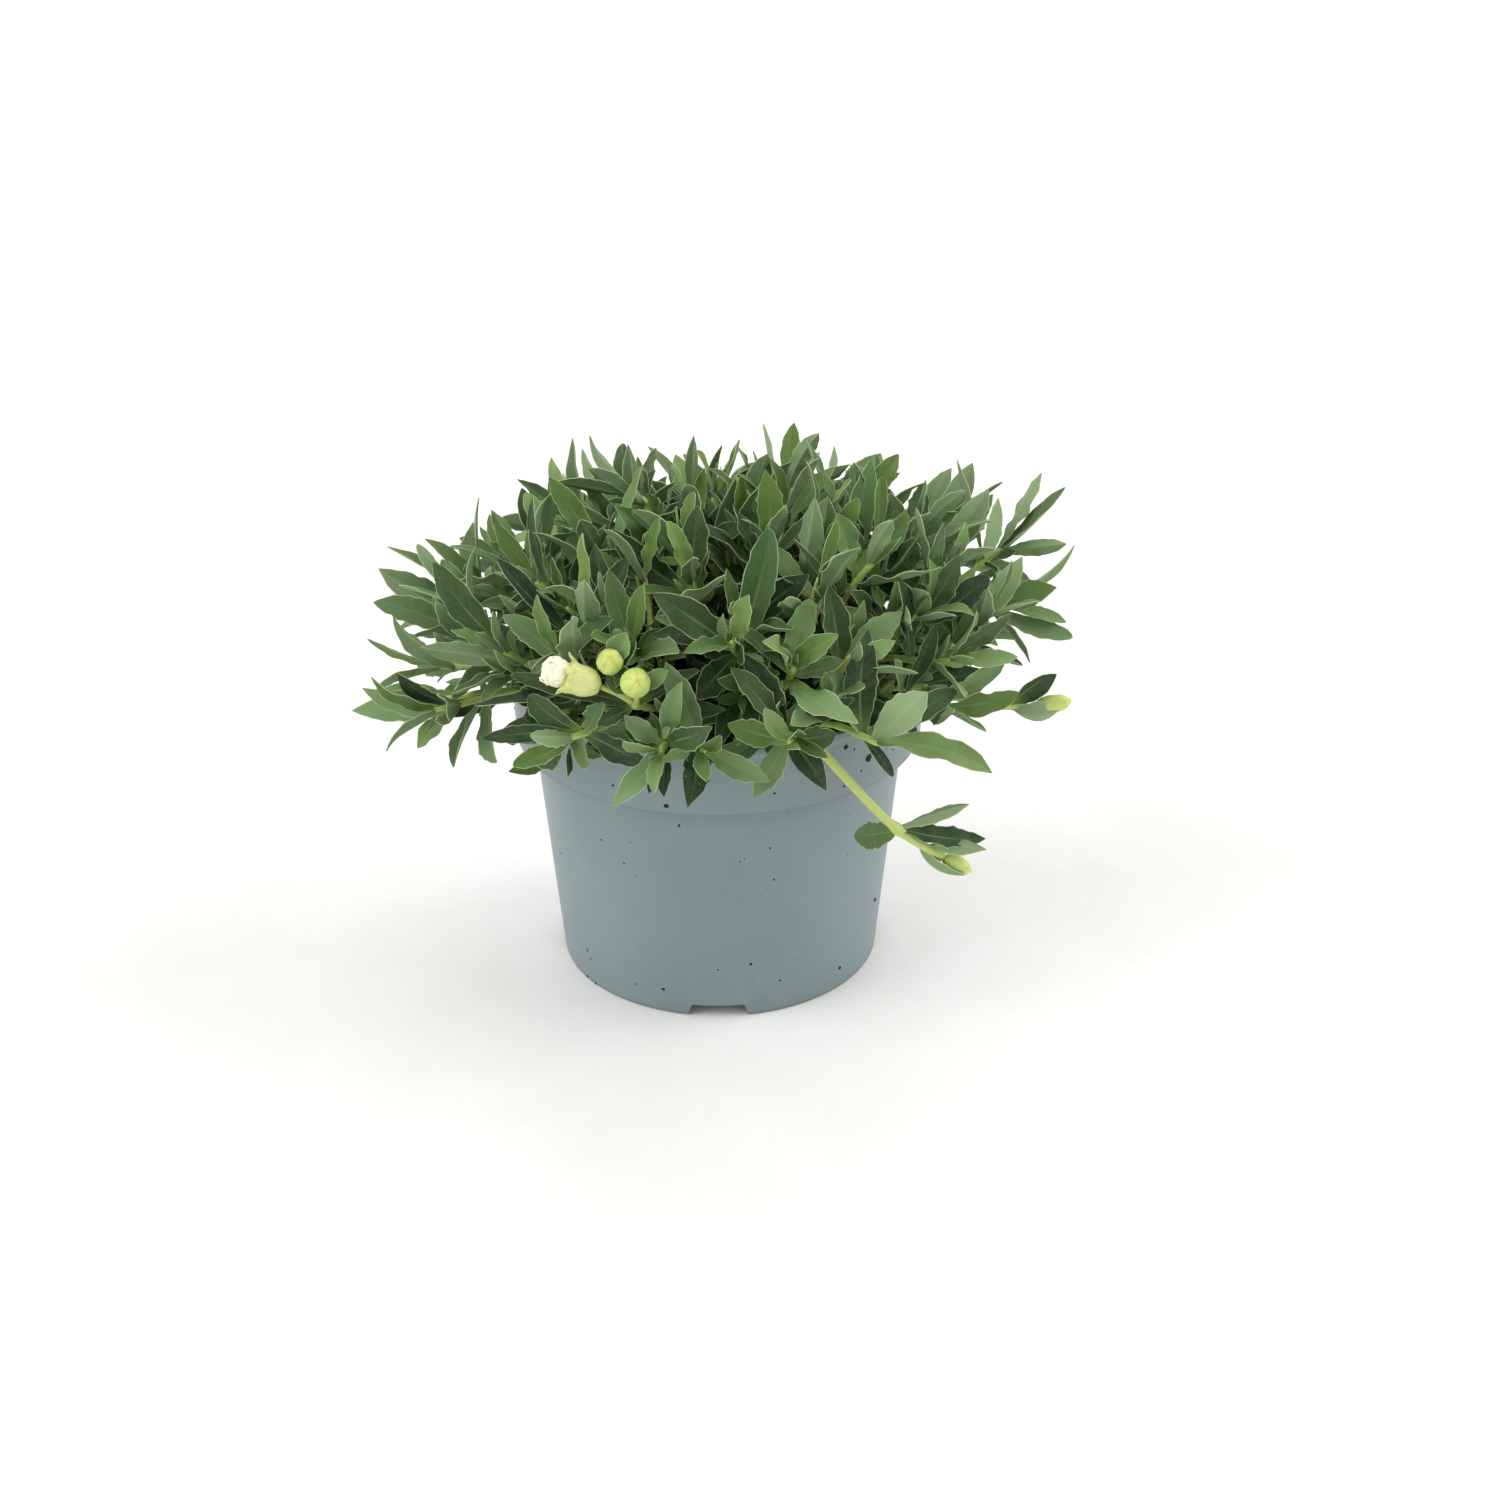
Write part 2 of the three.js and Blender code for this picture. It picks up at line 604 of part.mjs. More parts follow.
// Slots for the paired leaves of one crown, each pair a quarter turn from the one below
function slotsOf(stem, crown) {
  const { curve, length, radius } = crown;
  const slots = [];
  const turn = 2 * Math.PI * draw(stem.number, crown.number, 50);
  const size = 0.9 + 0.22 * draw(stem.number, crown.number, 51);
  for (let pair = 0; pair < PAIR_DISTANCE.length; pair += 1) {
    const distance = Math.min(PAIR_DISTANCE[pair] * size, length * 0.45);
    const u = 1 - distance / length;
    const root = chordPoint(crown, u);
    const axis = curve.getTangentAt(u);
    const seen = new THREE.Vector3().crossVectors(axis, UP).normalize();
    for (let side = 0; side < 2; side += 1) {
      const angle = turn + (pair * Math.PI) / 2 + side * Math.PI;
      const outward = seen.clone().applyAxisAngle(axis, angle);
      const open = PAIR_ANGLE[pair] * DEGREE;
      const start = axis.clone().multiplyScalar(Math.cos(open)).addScaledVector(outward, Math.sin(open));
      const droop = Math.max(0, -0.12 - start.z);
      start.z += droop * 0.75;
      start.normalize();
      const upper = axis.clone().multiplyScalar(Math.sin(open)).addScaledVector(outward, -Math.cos(open));
      slots.push({
        stem: stem.number,
        crown: crown.number,
        pair,
        side,
        root,
        axis,
        outward,
        start,
        upper,
        length: PAIR_LENGTH[pair] * size * (1 - 0.45 * droop),
        width: PAIR_WIDTH[pair] * size,
        recurve: PAIR_RECURVE[pair],
        lift: PAIR_LIFT[pair],
        bare: bareShare(radius, PAIR_LENGTH[pair] * size),
        placed: false,
      });
    }
  }
  for (const [azimuth, rise, leafLength, leafWidth, ...face] of crown.leaves) {
    const aim = heading(azimuth, rise);
    const free = slots.filter((slot) => !slot.placed);
    if (free.length === 0) {
      break;
    }
    const fit = (slot) => slot.start.dot(aim) - (slot.pair === 0 ? 0.2 : 0);
    free.sort((a, b) => fit(b) - fit(a));
    const slot = free[0];
    slot.placed = true;
    slot.start = aim.clone().addScaledVector(UP, -0.12).normalize();
    slot.outward = aim.clone().addScaledVector(slot.axis, -aim.dot(slot.axis)).normalize();
    slot.root = chordPoint(crown, 1 - Math.min(PAIR_DISTANCE[slot.pair] * size, 6, length * 0.4) / length);
    slot.upper = upperSide(aim, slot.axis, face);
    slot.length = leafLength;
    slot.width = leafWidth;
    slot.recurve = 0;
    slot.lift = 0.24;
    slot.bare = bareShare(radius, leafLength);
  }
  return slots;
}

// Upper side of a leaf: towards the stem's tip, or towards the azimuth and rise given
function upperSide(aim, axis, face) {
  const towards = face.length === 2 ? heading(...face) : axis;
  const upper = towards.clone().addScaledVector(aim, -towards.dot(aim));
  if (upper.length() < 0.25) {
    upper.addScaledVector(UP, 0.5).addScaledVector(aim, -0.5 * UP.dot(aim));
  }
  return upper.normalize();
}

// Stem from the soil to a crown, as a cubic curve that leaves the soil steeply
function stemCurve(crown, aim, number, attempt) {
  const flat = new THREE.Vector3(crown.x, crown.y, 0);
  const reach = Math.min(flat.length() * ROOT_SCALE + 2, ROOT_REACH);
  const out = flat.clone().normalize();
  const aside = new THREE.Vector3(-out.y, out.x, 0);
  const stray = attempt === 0 ? 0 : 2 + attempt * 0.12;
  const foot = out.clone().multiplyScalar(reach + stray * (2 * draw(number, 70, attempt) - 1));
  foot.addScaledVector(aside, stray * (2 * draw(number, 71, attempt) - 1));
  foot.z = SOIL_TOP - ROOT_DEPTH;
  const span = foot.distanceTo(crown);
  const lean = UP.clone().addScaledVector(out, 0.75 * (flat.length() / DOME_REACH));
  lean.addScaledVector(aside, 0.15 * stray * (draw(number, 72, attempt) - 0.5)).normalize();
  const rise = crown.z < 112 ? 0.55 : 0.42;
  const low = foot.clone().addScaledVector(lean, span * rise);
  const high = crown.clone().addScaledVector(aim, -span * 0.34);
  if (crown.z < 112) {
    high.z = Math.max(high.z, POT_HEIGHT + 7);
  }
  return new THREE.CubicBezierCurve3(foot, low, high, crown.clone());
}

// Second crown of a forked stem: leaves the first stem along its own direction
function forkCurve(first, crown, aim) {
  const at = FORK_AT / STEM_STEPS;
  const start = first.getPointAt(at);
  const along = first.getTangentAt(at);
  const span = start.distanceTo(crown);
  const low = start.clone().addScaledVector(along, span * 0.35);
  const high = crown.clone().addScaledVector(aim, -span * 0.35);
  return new THREE.CubicBezierCurve3(start, low, high, crown.clone());
}

function tubeGeometry(curve, radius, steps, sides) {
  const round = new THREE.Shape();
  for (let i = 0; i < sides; i += 1) {
    const angle = (i * 2 * Math.PI) / sides;
    if (i === 0) {
      round.moveTo(radius, 0);
    } else {
      round.lineTo(radius * Math.cos(angle), radius * Math.sin(angle));
    }
  }
  return new THREE.ExtrudeGeometry(round, { steps, extrudePath: curve, bevelEnabled: false });
}

function curveClear(curve, radius, others) {
  const points = curve.getSpacedPoints(20);
  for (const p of points) {
    const overSoil = p.z > SOIL_TOP + 4;
    const r = Math.hypot(p.x, p.y);
    if (overSoil && r > 59 && r < RIM_RADIUS + radius + 1 && p.z < POT_HEIGHT + radius + 0.9) {
      return false;
    }
  }
  for (const other of others) {
    for (const p of points) {
      for (const q of other.points) {
        if (p.distanceToSquared(q) < (radius + other.radius + 1.8) ** 2) {
          return false;
        }
      }
    }
  }
  return true;
}

// Crowns spread over the dome by the golden angle, where no placed crown is near
function spreadCrowns(taken) {
  const crowns = [];
  for (let i = 0; i < SPREAD_CROWNS; i += 1) {
    const r = DOME_REACH * Math.sqrt((i + 0.6) / SPREAD_CROWNS) * (0.985 + 0.03 * draw(300, i));
    const angle = i * Math.PI * (3 - Math.sqrt(5)) + 0.5 * (draw(301, i) - 0.5);
    const share = Math.min(1, r / DOME_REACH);
    const z = DOME_FOOT + DOME_RISE * Math.sqrt(Math.max(0, 1 - share * share)) + 5 * (draw(302, i) - 0.5);
    const crown = new THREE.Vector3(r * Math.cos(angle), r * Math.sin(angle), Math.max(z, DOME_FOOT + 3));
    crown.z += DOME_LEAN * Math.max(0, crown.x - 12);
    crown.y += DOME_BACK;
    if (taken.every((other) => other.distanceTo(crown) > CROWN_SPACING)) {
      crowns.push(crown);
      taken.push(crown);
    }
  }
  return crowns;
}

// Egg-shaped calyx or bud about its axis, with shallow ribs and, when open, a toothed mouth
function budGeometry(bud, open) {
  const sides = 10;
  const shares = open
    ? [[0, 0], [0.03, 0.34], [0.2, 0.82], [0.5, 1], [0.8, 0.9], [1, 0.86], [0.9, 0.66], [0.86, 0]]
    : [[0, 0], [0.03, 0.4], [0.22, 0.86], [0.52, 1], [0.8, 0.74], [0.95, 0.36], [1, 0]];
  const lathe = new THREE.LatheGeometry(
    shares.map(([z, r]) => new THREE.Vector2(r * bud.radius, (z - 0.5) * bud.length)),
    sides,
  );
  const place = lathe.getAttribute('position');
  for (let i = 0; i < place.count; i += 1) {
    const ring = i % shares.length;
    const step = Math.floor(i / shares.length) % sides;
    const rib = 1 + (step % 2 === 0 ? 0.05 : -0.05);
    place.setX(i, place.getX(i) * rib);
    place.setZ(i, place.getZ(i) * rib);
    if (open && ring === 5) {
      place.setY(i, place.getY(i) + (step % 2 === 0 ? 0.7 : -0.5));
    }
  }
  const turn = new THREE.Quaternion().setFromUnitVectors(new THREE.Vector3(0, 1, 0), heading(...bud.axis));
  lathe.applyQuaternion(turn);
  lathe.translate(...bud.centre);
  return lathe;
}

// Five petals rolled into a cone: round the axis the radius climbs along each petal and drops at the
// edge where the next one comes out from under it
function petalGeometry(petals) {
  const rings = [[-0.5, 0.5, 0.06], [-0.2, 0.82, 0.12], [0.14, 1, 0.2], [0.42, 0.9, 0.3], [0.3, 0.4, 0.2]];
  const steps = [0, 0.5, 0.96];
  const count = 5 * steps.length;
  const place = [0, 0, -0.5 * petals.length];
  const index = [];
  rings.forEach(([t, share, drop], ring) => {
    for (let petal = 0; petal < 5; petal += 1) {
      steps.forEach((step, k) => {
        const angle = (petal + step) * 72 * DEGREE + 0.5 * t;
        const r = petals.radius * share * (1 - drop * (1 - step));
        const edge = ring === 3 ? [0.02, 0.1, -0.03][k] : 0;
        place.push(r * Math.cos(angle), r * Math.sin(angle), (t + edge) * petals.length);
      });
    }
  });
  place.push(0, 0, 0.12 * petals.length);
  const at = (ring, k) => 1 + ring * count + (k % count);
  const end = 1 + rings.length * count;
  for (let k = 0; k < count; k += 1) {
    index.push(0, at(0, k + 1), at(0, k), at(rings.length - 1, k), at(rings.length - 1, k + 1), end);
    for (let ring = 0; ring < rings.length - 1; ring += 1) {
      index.push(at(ring, k), at(ring, k + 1), at(ring + 1, k + 1));
      index.push(at(ring, k), at(ring + 1, k + 1), at(ring + 1, k));
    }
  }
  const geometry = new THREE.BufferGeometry();
  geometry.setAttribute('position', new THREE.Float32BufferAttribute(place, 3));
  geometry.setIndex(index);
  geometry.applyQuaternion(
    new THREE.Quaternion().setFromUnitVectors(new THREE.Vector3(0, 0, 1), heading(...petals.axis)),
  );
  geometry.translate(...petals.centre);
  return geometry;
}

const placedStems = [];

function addCrown(stem, curve, radius, leaves) {
  stem.crowns.push({
    number: stem.crowns.length,
    curve,
    radius,
    leaves,
    length: curve.getLength(),
    points: curve.getSpacedPoints(20),
    chord: curve.getSpacedPoints(stem.crowns.length === 0 ? STEM_STEPS : FORK_STEPS),
  });
}

function pathStem(name, number, spec) {
  const curve = new THREE.CatmullRomCurve3(spec.path.map(vector), false, 'centripetal');
  const stem = { name, number, curve, radius: spec.radius, crowns: [], sides: PATH_SIDES, spec };
  stem.steps = 2 * (spec.path.length - 1);
  stem.points = curve.getSpacedPoints(30);
  stem.branches = (spec.branches ?? []).map((branch) => {
    const points = [curve.getPoint(0.97), ...branch.map(vector)];
    return new THREE.CatmullRomCurve3(points, false, 'centripetal');
  });
  return stem;
}

const flowerStem = pathStem('flowering_stem', 101, FLOWER_STEM);
const trailingStem = pathStem('trailing_stem', 102, TRAILING);
const rightStem = pathStem('right_bud_stem', 103, RIGHT_STEM);
const pathStems = [flowerStem, trailingStem, rightStem];

const runs = pathStems.map((stem) => ({ points: stem.points, radius: stem.radius }));
for (const branch of flowerStem.branches) {
  runs.push({ points: branch.getSpacedPoints(6), radius: flowerStem.radius });
}
for (const bud of [FLOWER, PETALS, ...ROUND_BUDS, TRAILING_BUD, RIGHT_BUD]) {
  runs.push({ points: [vector(bud.centre)], radius: bud.radius });
}
const stems = [];
const crownPlaces = [];

PLACED.forEach((spec, order) => {
  const crown = vector(spec.crown);
  const aim = heading(...spec.toward);
  const radius = spec.radius ?? STEM_RADIUS;
  crownPlaces.push(crown);
  if (spec.fork !== undefined) {
    const first = stems[placedStems.indexOf(spec.fork)];
    const branch = forkCurve(first.curve, crown, aim);
    if (curveClear(branch, radius, runs.filter((run) => run.points !== first.crowns[0].points))) {
      addCrown(first, branch, radius * 0.93, spec.leaves);
      runs.push({ points: first.crowns.at(-1).points.slice(4), radius });
      return;
    }
  }
  let curve = stemCurve(crown, aim, order, 0);
  for (let attempt = 1; attempt < 60 && !curveClear(curve, radius, runs); attempt += 1) {
    curve = stemCurve(crown, aim, order, attempt);
  }
  const stem = { number: order, curve, radius, crowns: [], steps: STEM_STEPS, sides: STEM_SIDES };
  addCrown(stem, curve, radius, spec.leaves);
  runs.push({ points: stem.crowns[0].points, radius });
  placedStems.push(order);
  stems.push(stem);
});

spreadCrowns(crownPlaces).forEach((crown, order) => {
  const number = 200 + order;
  const aim = crown.clone().sub(new THREE.Vector3(0, 0, STEM_FOCUS)).normalize();
  aim.addScaledVector(heading(360 * draw(number, 60), 0), 0.22).normalize();
  const radius = STEM_RADIUS * (0.95 + 0.15 * draw(number, 61));
  const away = (stem) => stem.crowns[0].points.at(-1).distanceTo(crown);
  const near = stems.filter((stem) => stem.crowns.length < 3 && away(stem) < 42);
  near.sort((a, b) => away(a) - away(b));
  if (order % 4 !== 0) {
    for (const first of near) {
      const curve = forkCurve(first.curve, crown, aim);
      const others = runs.filter((run) => run.points !== first.crowns[0].points);
      if (curveClear(curve, radius * 0.93, others)) {
        addCrown(first, curve, radius * 0.93, []);
        runs.push({ points: first.crowns.at(-1).points.slice(4), radius });
        return;
      }
    }
  }
  if (stems.length + pathStems.length >= MOST_STEMS) {
    return;
  }
  for (let attempt = 0; attempt < 60; attempt += 1) {
    const curve = stemCurve(crown, aim, number, attempt);
    if (curveClear(curve, radius, runs)) {
      const stem = { number, curve, radius, crowns: [], steps: STEM_STEPS, sides: STEM_SIDES };
      addCrown(stem, curve, radius, []);
      runs.push({ points: stem.crowns[0].points, radius });
      stems.push(stem);
      return;
    }
  }
});

// Every stem, bud and flower is in place before the first leaf, so the leaves keep clear of them
const obstacles = [];
const allStems = [...pathStems, ...stems];
for (const stem of allStems) {
  const tubes = [tubeGeometry(stem.curve, stem.radius, stem.steps, stem.sides)];
  for (const crown of stem.crowns.slice(1)) {
    tubes.push(tubeGeometry(crown.curve, crown.radius, FORK_STEPS, stem.sides));
  }
  for (const branch of stem.branches ?? []) {
    tubes.push(tubeGeometry(branch, stem.radius * 0.8, 3, stem.sides));
  }
  stem.solid = null;
  for (const tube of tubes) {
    const solid = toSolid(tube);
    stem.solid = stem.solid ? stem.solid.add(solid) : solid;
    obstacles.push({ owner: stem, ...shapeOf(tube) });
  }
}

const budNodes = [
  ['flower_calyx', FLOWER, true],
  ...ROUND_BUDS.map((bud) => [bud.name, bud, false]),
  ['trailing_bud', TRAILING_BUD, false],
  ['right_bud', RIGHT_BUD, false],
].map(([name, bud, open]) => {
  const geometry = budGeometry(bud, open);
  obstacles.push({ owner: name, ...shapeOf(geometry) });
  return { name, solid: toSolid(geometry) };
});
const petalShape = petalGeometry(PETALS);
obstacles.push({ owner: 'furled_petals', ...shapeOf(petalShape) });

// Keeps the first try of a leaf that crosses nothing, or drops the leaf
function growLeaf(stem, slot) {
  for (let attempt = 0; attempt < TRIES; attempt += 1) {
    const leaf = leafFor(slot, attempt);
    let clear = leafFrame(leaf, 1).point.y < MOST_BACK;
    for (let t = 0.2; t <= 1.001 && clear; t += 0.08) {
      const { point, across, upper } = leafFrame(leaf, t);
      const half = leaf.width * 0.5 * Math.min(1, 2.2 * (1.04 - t));
      for (const sign of [-1, 0, 1]) {
        const p = point.clone().addScaledVector(across, sign * half);
        p.addScaledVector(upper, sign === 0 ? -0.8 : 0.8);
        clear = clear && !inPot(p);
      }
    }
    if (!clear) {
      continue;
    }
    const air = shapeOf(bladeGeometry(leaf, CLEARANCE, slot.bare));
    const outerAir = shapeOf(bladeGeometry(leaf, CLEARANCE / 2, Math.max(slot.bare, 0.4)));
    if (obstacles.every((obstacle) => !cross(obstacle.owner === stem ? outerAir : air, obstacle))) {
      return leaf;
    }
  }
  return null;
}

const leafJobs = [];
for (const stem of stems) {
  for (const crown of stem.crowns) {
    for (const slot of slotsOf(stem, crown)) {
      leafJobs.push({ stem, slot });
    }
  }
}
for (const stem of pathStems) {
  stem.spec.leaves.forEach(([at, azimuth, rise, length, width, ...face], order) => {
    const u = at / (stem.spec.path.length - 1);
    const axis = stem.curve.getTangent(u);
    const aim = heading(azimuth, rise);
    const slot = {
      stem: stem.number,
      crown: 0,
      pair: 9,
      side: order,
      root: stem.curve.getPoint(u),
      axis,
      outward: aim.clone().addScaledVector(axis, -aim.dot(axis)).normalize(),
      start: aim.clone().addScaledVector(UP, -0.1).normalize(),
      upper: upperSide(aim, axis, face),
      length,
      width,
      recurve: 0,
      lift: 0.2,
      bare: bareShare(stem.radius, length),
      placed: true,
    };
    leafJobs.push({ stem, slot });
  });
}
// Leaves told apart come first, then the rest from the oldest pairs to the youngest
leafJobs.sort((a, b) => Number(b.slot.placed) - Number(a.slot.placed) || b.slot.pair - a.slot.pair);
for (const { stem, slot } of leafJobs) {
  const leaf = growLeaf(stem, slot);
  if (leaf) {
    const geometry = bladeGeometry(leaf, 0, 0);
    obstacles.push({ owner: stem, ...shapeOf(geometry) });
    stem.solid = stem.solid.add(toSolid(geometry));
  }
}

const plant = new THREE.Group();
plant.add(toMesh('pot', makePot(), POT_GREY));
plant.add(toMesh('soil', makeSoil(allStems), SOIL_BROWN));
stems.forEach((stem, order) => {
  stem.name = `leafy_stem_${String(order + 1).padStart(2, '0')}`;
});
for (const stem of allStems) {
  plant.add(toMesh(stem.name, stem.solid, LEAF_GREEN));
}
for (const { name, solid } of budNodes) {
  plant.add(toMesh(name, solid, CALYX_GREEN));
}
plant.add(toMesh('furled_petals', toSolid(petalShape), PETAL_CREAM));

export default plant;
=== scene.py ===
"""Looks of a potted sea campion: fine leaves, stems, buds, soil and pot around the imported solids.

Plant sizes are in millimetres, as in the part, and each mesh is scaled to metres when it is made.
"""

import itertools
import math
from types import SimpleNamespace

import bpy
import numpy as np
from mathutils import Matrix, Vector, noise


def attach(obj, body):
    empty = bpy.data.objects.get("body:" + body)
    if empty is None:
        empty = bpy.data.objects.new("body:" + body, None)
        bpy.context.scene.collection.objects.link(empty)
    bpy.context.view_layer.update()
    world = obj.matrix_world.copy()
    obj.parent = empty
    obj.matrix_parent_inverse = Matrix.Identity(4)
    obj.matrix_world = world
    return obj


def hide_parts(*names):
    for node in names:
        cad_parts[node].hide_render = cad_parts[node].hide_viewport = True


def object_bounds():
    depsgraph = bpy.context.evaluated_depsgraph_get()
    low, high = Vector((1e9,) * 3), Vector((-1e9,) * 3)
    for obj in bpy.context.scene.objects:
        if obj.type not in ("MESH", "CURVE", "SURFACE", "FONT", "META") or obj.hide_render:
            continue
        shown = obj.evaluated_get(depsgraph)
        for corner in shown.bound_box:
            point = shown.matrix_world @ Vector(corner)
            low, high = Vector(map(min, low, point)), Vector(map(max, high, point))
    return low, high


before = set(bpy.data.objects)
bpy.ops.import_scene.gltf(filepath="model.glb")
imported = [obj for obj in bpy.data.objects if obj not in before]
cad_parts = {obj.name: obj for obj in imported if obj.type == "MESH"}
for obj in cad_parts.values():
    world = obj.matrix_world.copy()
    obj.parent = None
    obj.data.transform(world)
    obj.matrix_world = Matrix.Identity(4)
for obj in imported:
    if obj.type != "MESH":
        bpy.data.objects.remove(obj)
cad_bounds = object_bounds()

MM = 0.001
BOX_LOW, BOX_HIGH = (np.array(corner) / MM for corner in cad_bounds)
BOX_MARGIN = 0.02
SEED = 9103
UP = np.array([0.0, 0.0, 1.0])

# Pot and soil
POT_HEIGHT = 98.4
RIM_RADIUS = 65
COLLAR_RADIUS = 63.3
COLLAR_LOW = 75.8
BODY_RADIUS_TOP = 57.8
BASE_RADIUS = 51
WALL = 1.2
FOOT_HEIGHT = 4.2
FLOOR_TOP = 5.4
NOTCHES = 4
NOTCH_TOP = 16
NOTCH_BOTTOM = 19.3
DRAIN_HOLES = 4
DRAIN_RADIUS = 4
DRAIN_RING = 33
POT_SIDES = 160
SOIL_TOP = 90
SOIL_GAP = 0.3
ROOT_DEPTH = 8

# Dome on which the stems end
DOME_REACH = 88
DOME_RISE = 44
DOME_FOOT = 100
DOME_LEAN = 0.15
DOME_BACK = -3
STEM_FOCUS = 52
CROWN_SPACING = 14
SPREAD_CROWNS = 110
MOST_STEMS = 52

# Stems
STEM_RADIUS = 1.3
STEM_STEPS = 4
FORK_STEPS = 3
FORK_AT = 2
ROOT_SCALE = 0.44
ROOT_REACH = 43

# Leaves
TRIES = 36
PAIR_DISTANCE = [2, 8, 16]
PAIR_ANGLE = [24, 48, 72]
PAIR_LENGTH = [21, 30, 34]
PAIR_WIDTH = [6.6, 9.4, 10]
PAIR_RECURVE = [0, 0.12, 0.2]
PAIR_LIFT = [0.05, 0.2, 0.3]

# Numbers and directions
TURN = 2 * math.pi


class Named(SimpleNamespace):
    """Named values, with a way to a copy in which some of them are changed."""

    def but(self, **changes):
        return Named(**{**vars(self), **changes})


def draw(*keys):
    """A number from 0 to 1 that depends only on the whole numbers given."""
    h = SEED
    for key in keys:
        h = ((h ^ ((key + 0x9E3779B9) & 0xFFFFFFFF)) * 0x85EBCA6B) & 0xFFFFFFFF
        h ^= h >> 13
        h = (h * 0xC2B2AE35) & 0xFFFFFFFF
        h ^= h >> 16
    return h / 4294967296


def unit(v):
    return v / np.linalg.norm(v, axis=-1, keepdims=True)


def heading(azimuth, rise):
    a = math.radians(azimuth)
    r = math.radians(rise)
    return np.array([math.cos(r) * math.cos(a), math.cos(r) * math.sin(a), math.sin(r)])


def spun(v, axis, angle):
    """v turned about a unit axis; works on one vector or on rows."""
    angle = np.asarray(angle, float)
    c = np.cos(angle)[..., None]
    s = np.sin(angle)[..., None]
    dot = np.sum(v * axis, axis=-1, keepdims=True)
    return v * c + np.cross(axis, v) * s + axis * dot * (1 - c)


def square_to(axis):
    """Two directions square to an axis and to each other, the first one level."""
    side = unit(np.cross(axis, UP))
    return side, np.cross(axis, side)


def around(first, second, angle):
    """The direction at an angle, counted from the first towards the second."""
    angle = np.asarray(angle)[..., None]
    return np.cos(angle) * first + np.sin(angle) * second


# Stems placed one by one: where the stem ends, azimuth and rise of its tip, and its leaves that are told
# apart, by azimuth, rise, length, width and for some the azimuth and rise that the upper side faces
PLACED = [
    ([-76, 12, 119], [178, 34], [[184, 26, 37, 8], [170, 44, 26, 8], [110, 78, 28, 7]]),
    ([-75, -18, 114], [190, 28], [[176, 28, 36, 9], [214, 40, 24, 8]]),
    ([-60, -47, 121], [205, 38], [[166, 47, 38, 10, 250, 20], [186, 8, 31, 9, 80, -30]]),
    ([-83, -33, 110], [190, 2], [[172, 16, 25, 8], [186, 40, 24, 8]], 2),
    ([-80, -54, 106], [205, 10], [[176, 6, 28, 8], [196, 34, 20, 7]]),
    (
        [-79, -41, 103.5], [190, -2],
        [[179, -2, 35, 11, 270, 50], [212, -46, 19, 8, 240, 30], [188, 10, 22, 7, 270, 60]], 4,
    ),
    (
        [-40, -77, 108], [222, 4],
        [[183, 0, 30, 7], [206, -26, 20, 8], [345, -12, 21, 9], [325, 42, 16, 8], [170, 28, 19, 8]],
    ),
    ([-15, -82, 106], [255, 2], [[190, 45, 16, 7], [262, -52, 15, 5], [195, -4, 16, 7]]),
    ([-3, -83, 107], [262, 8], [[168, 66, 26, 9, 262, 20], [208, -4, 14, 7]], 7),
    (
        [21, -82, 109], [272, 22],
        [
            [150, 64, 27, 9, 265, 25], [168, 44, 30, 9, 262, 40], [188, 24, 19, 8],
            [212, 56, 14, 6], [222, -40, 19, 8, 262, 20], [350, 8, 14, 9],
        ],
    ),
    (
        [45, -74, 105], [312, 20],
        [
            [100, 74, 32, 11, 270, 14], [330, 52, 25, 11, 92, -26], [20, 24, 32, 9, 280, 40],
            [8, -3, 38, 10, 270, 52], [330, -40, 15, 5], [152, 66, 26, 8],
        ],
    ),
    (
        [22, -67, 125], [280, 48],
        [[50, 68, 23, 9, 270, 20], [350, 15, 17, 7], [173, 43, 25, 6]],
    ),
    ([8, -51, 134], [275, 58], [[190, 8, 27, 9, 272, 40], [2, 42, 25, 9, 265, 20]]),
    ([14, -17, 142], [290, 76], [[70, 76, 25, 9], [160, 62, 19, 7], [320, 0, 15, 7]]),
    (
        [-7, -37, 139], [262, 66],
        [[66, 72, 27, 9], [162, 36, 32, 10, 262, 30], [205, 15, 18, 8]],
    ),
    ([-24, -59, 129], [246, 48], [[130, 60, 24, 8]]),
    ([38, -60, 125], [300, 46], [[30, 40, 24, 9]]),
    (
        [-27, 14, 149], [165, 34],
        [[180, 56, 24, 7], [196, 48, 22, 8], [270, 74, 14, 6], [192, 14, 28, 8]], None, 1.45,
    ),
    ([-35, -12, 139], [200, 60], [[150, 46, 28, 8]]),
    ([-53, -20, 132], [196, 50], [[120, 70, 29, 8], [164, 44, 24, 7]]),
    ([62, 30, 129], [20, 50], [[0, 36, 35, 5]]),
    ([61, -31, 127], [330, 48], [[0, 58, 25, 10, 270, 25], [8, 26, 27, 10, 280, 50]]),
    (
        [88, 17, 128], [8, 36],
        [[0, 54, 33, 7], [6, 42, 36, 9], [350, 36, 29, 8], [165, 72, 34, 5]],
    ),
    (
        [90, 4, 115], [355, 18],
        [[8, 34, 33, 8], [346, 40, 26, 10, 270, 40], [352, -14, 28, 8, 270, 60], [326, -22, 23, 7]],
    ),
    ([68, -43, 117], [332, 30], [[14, 28, 27, 8]], 21),
    ([66, -52, 106], [330, 12], [[14, 20, 27, 8], [4, 6, 24, 8]]),
]

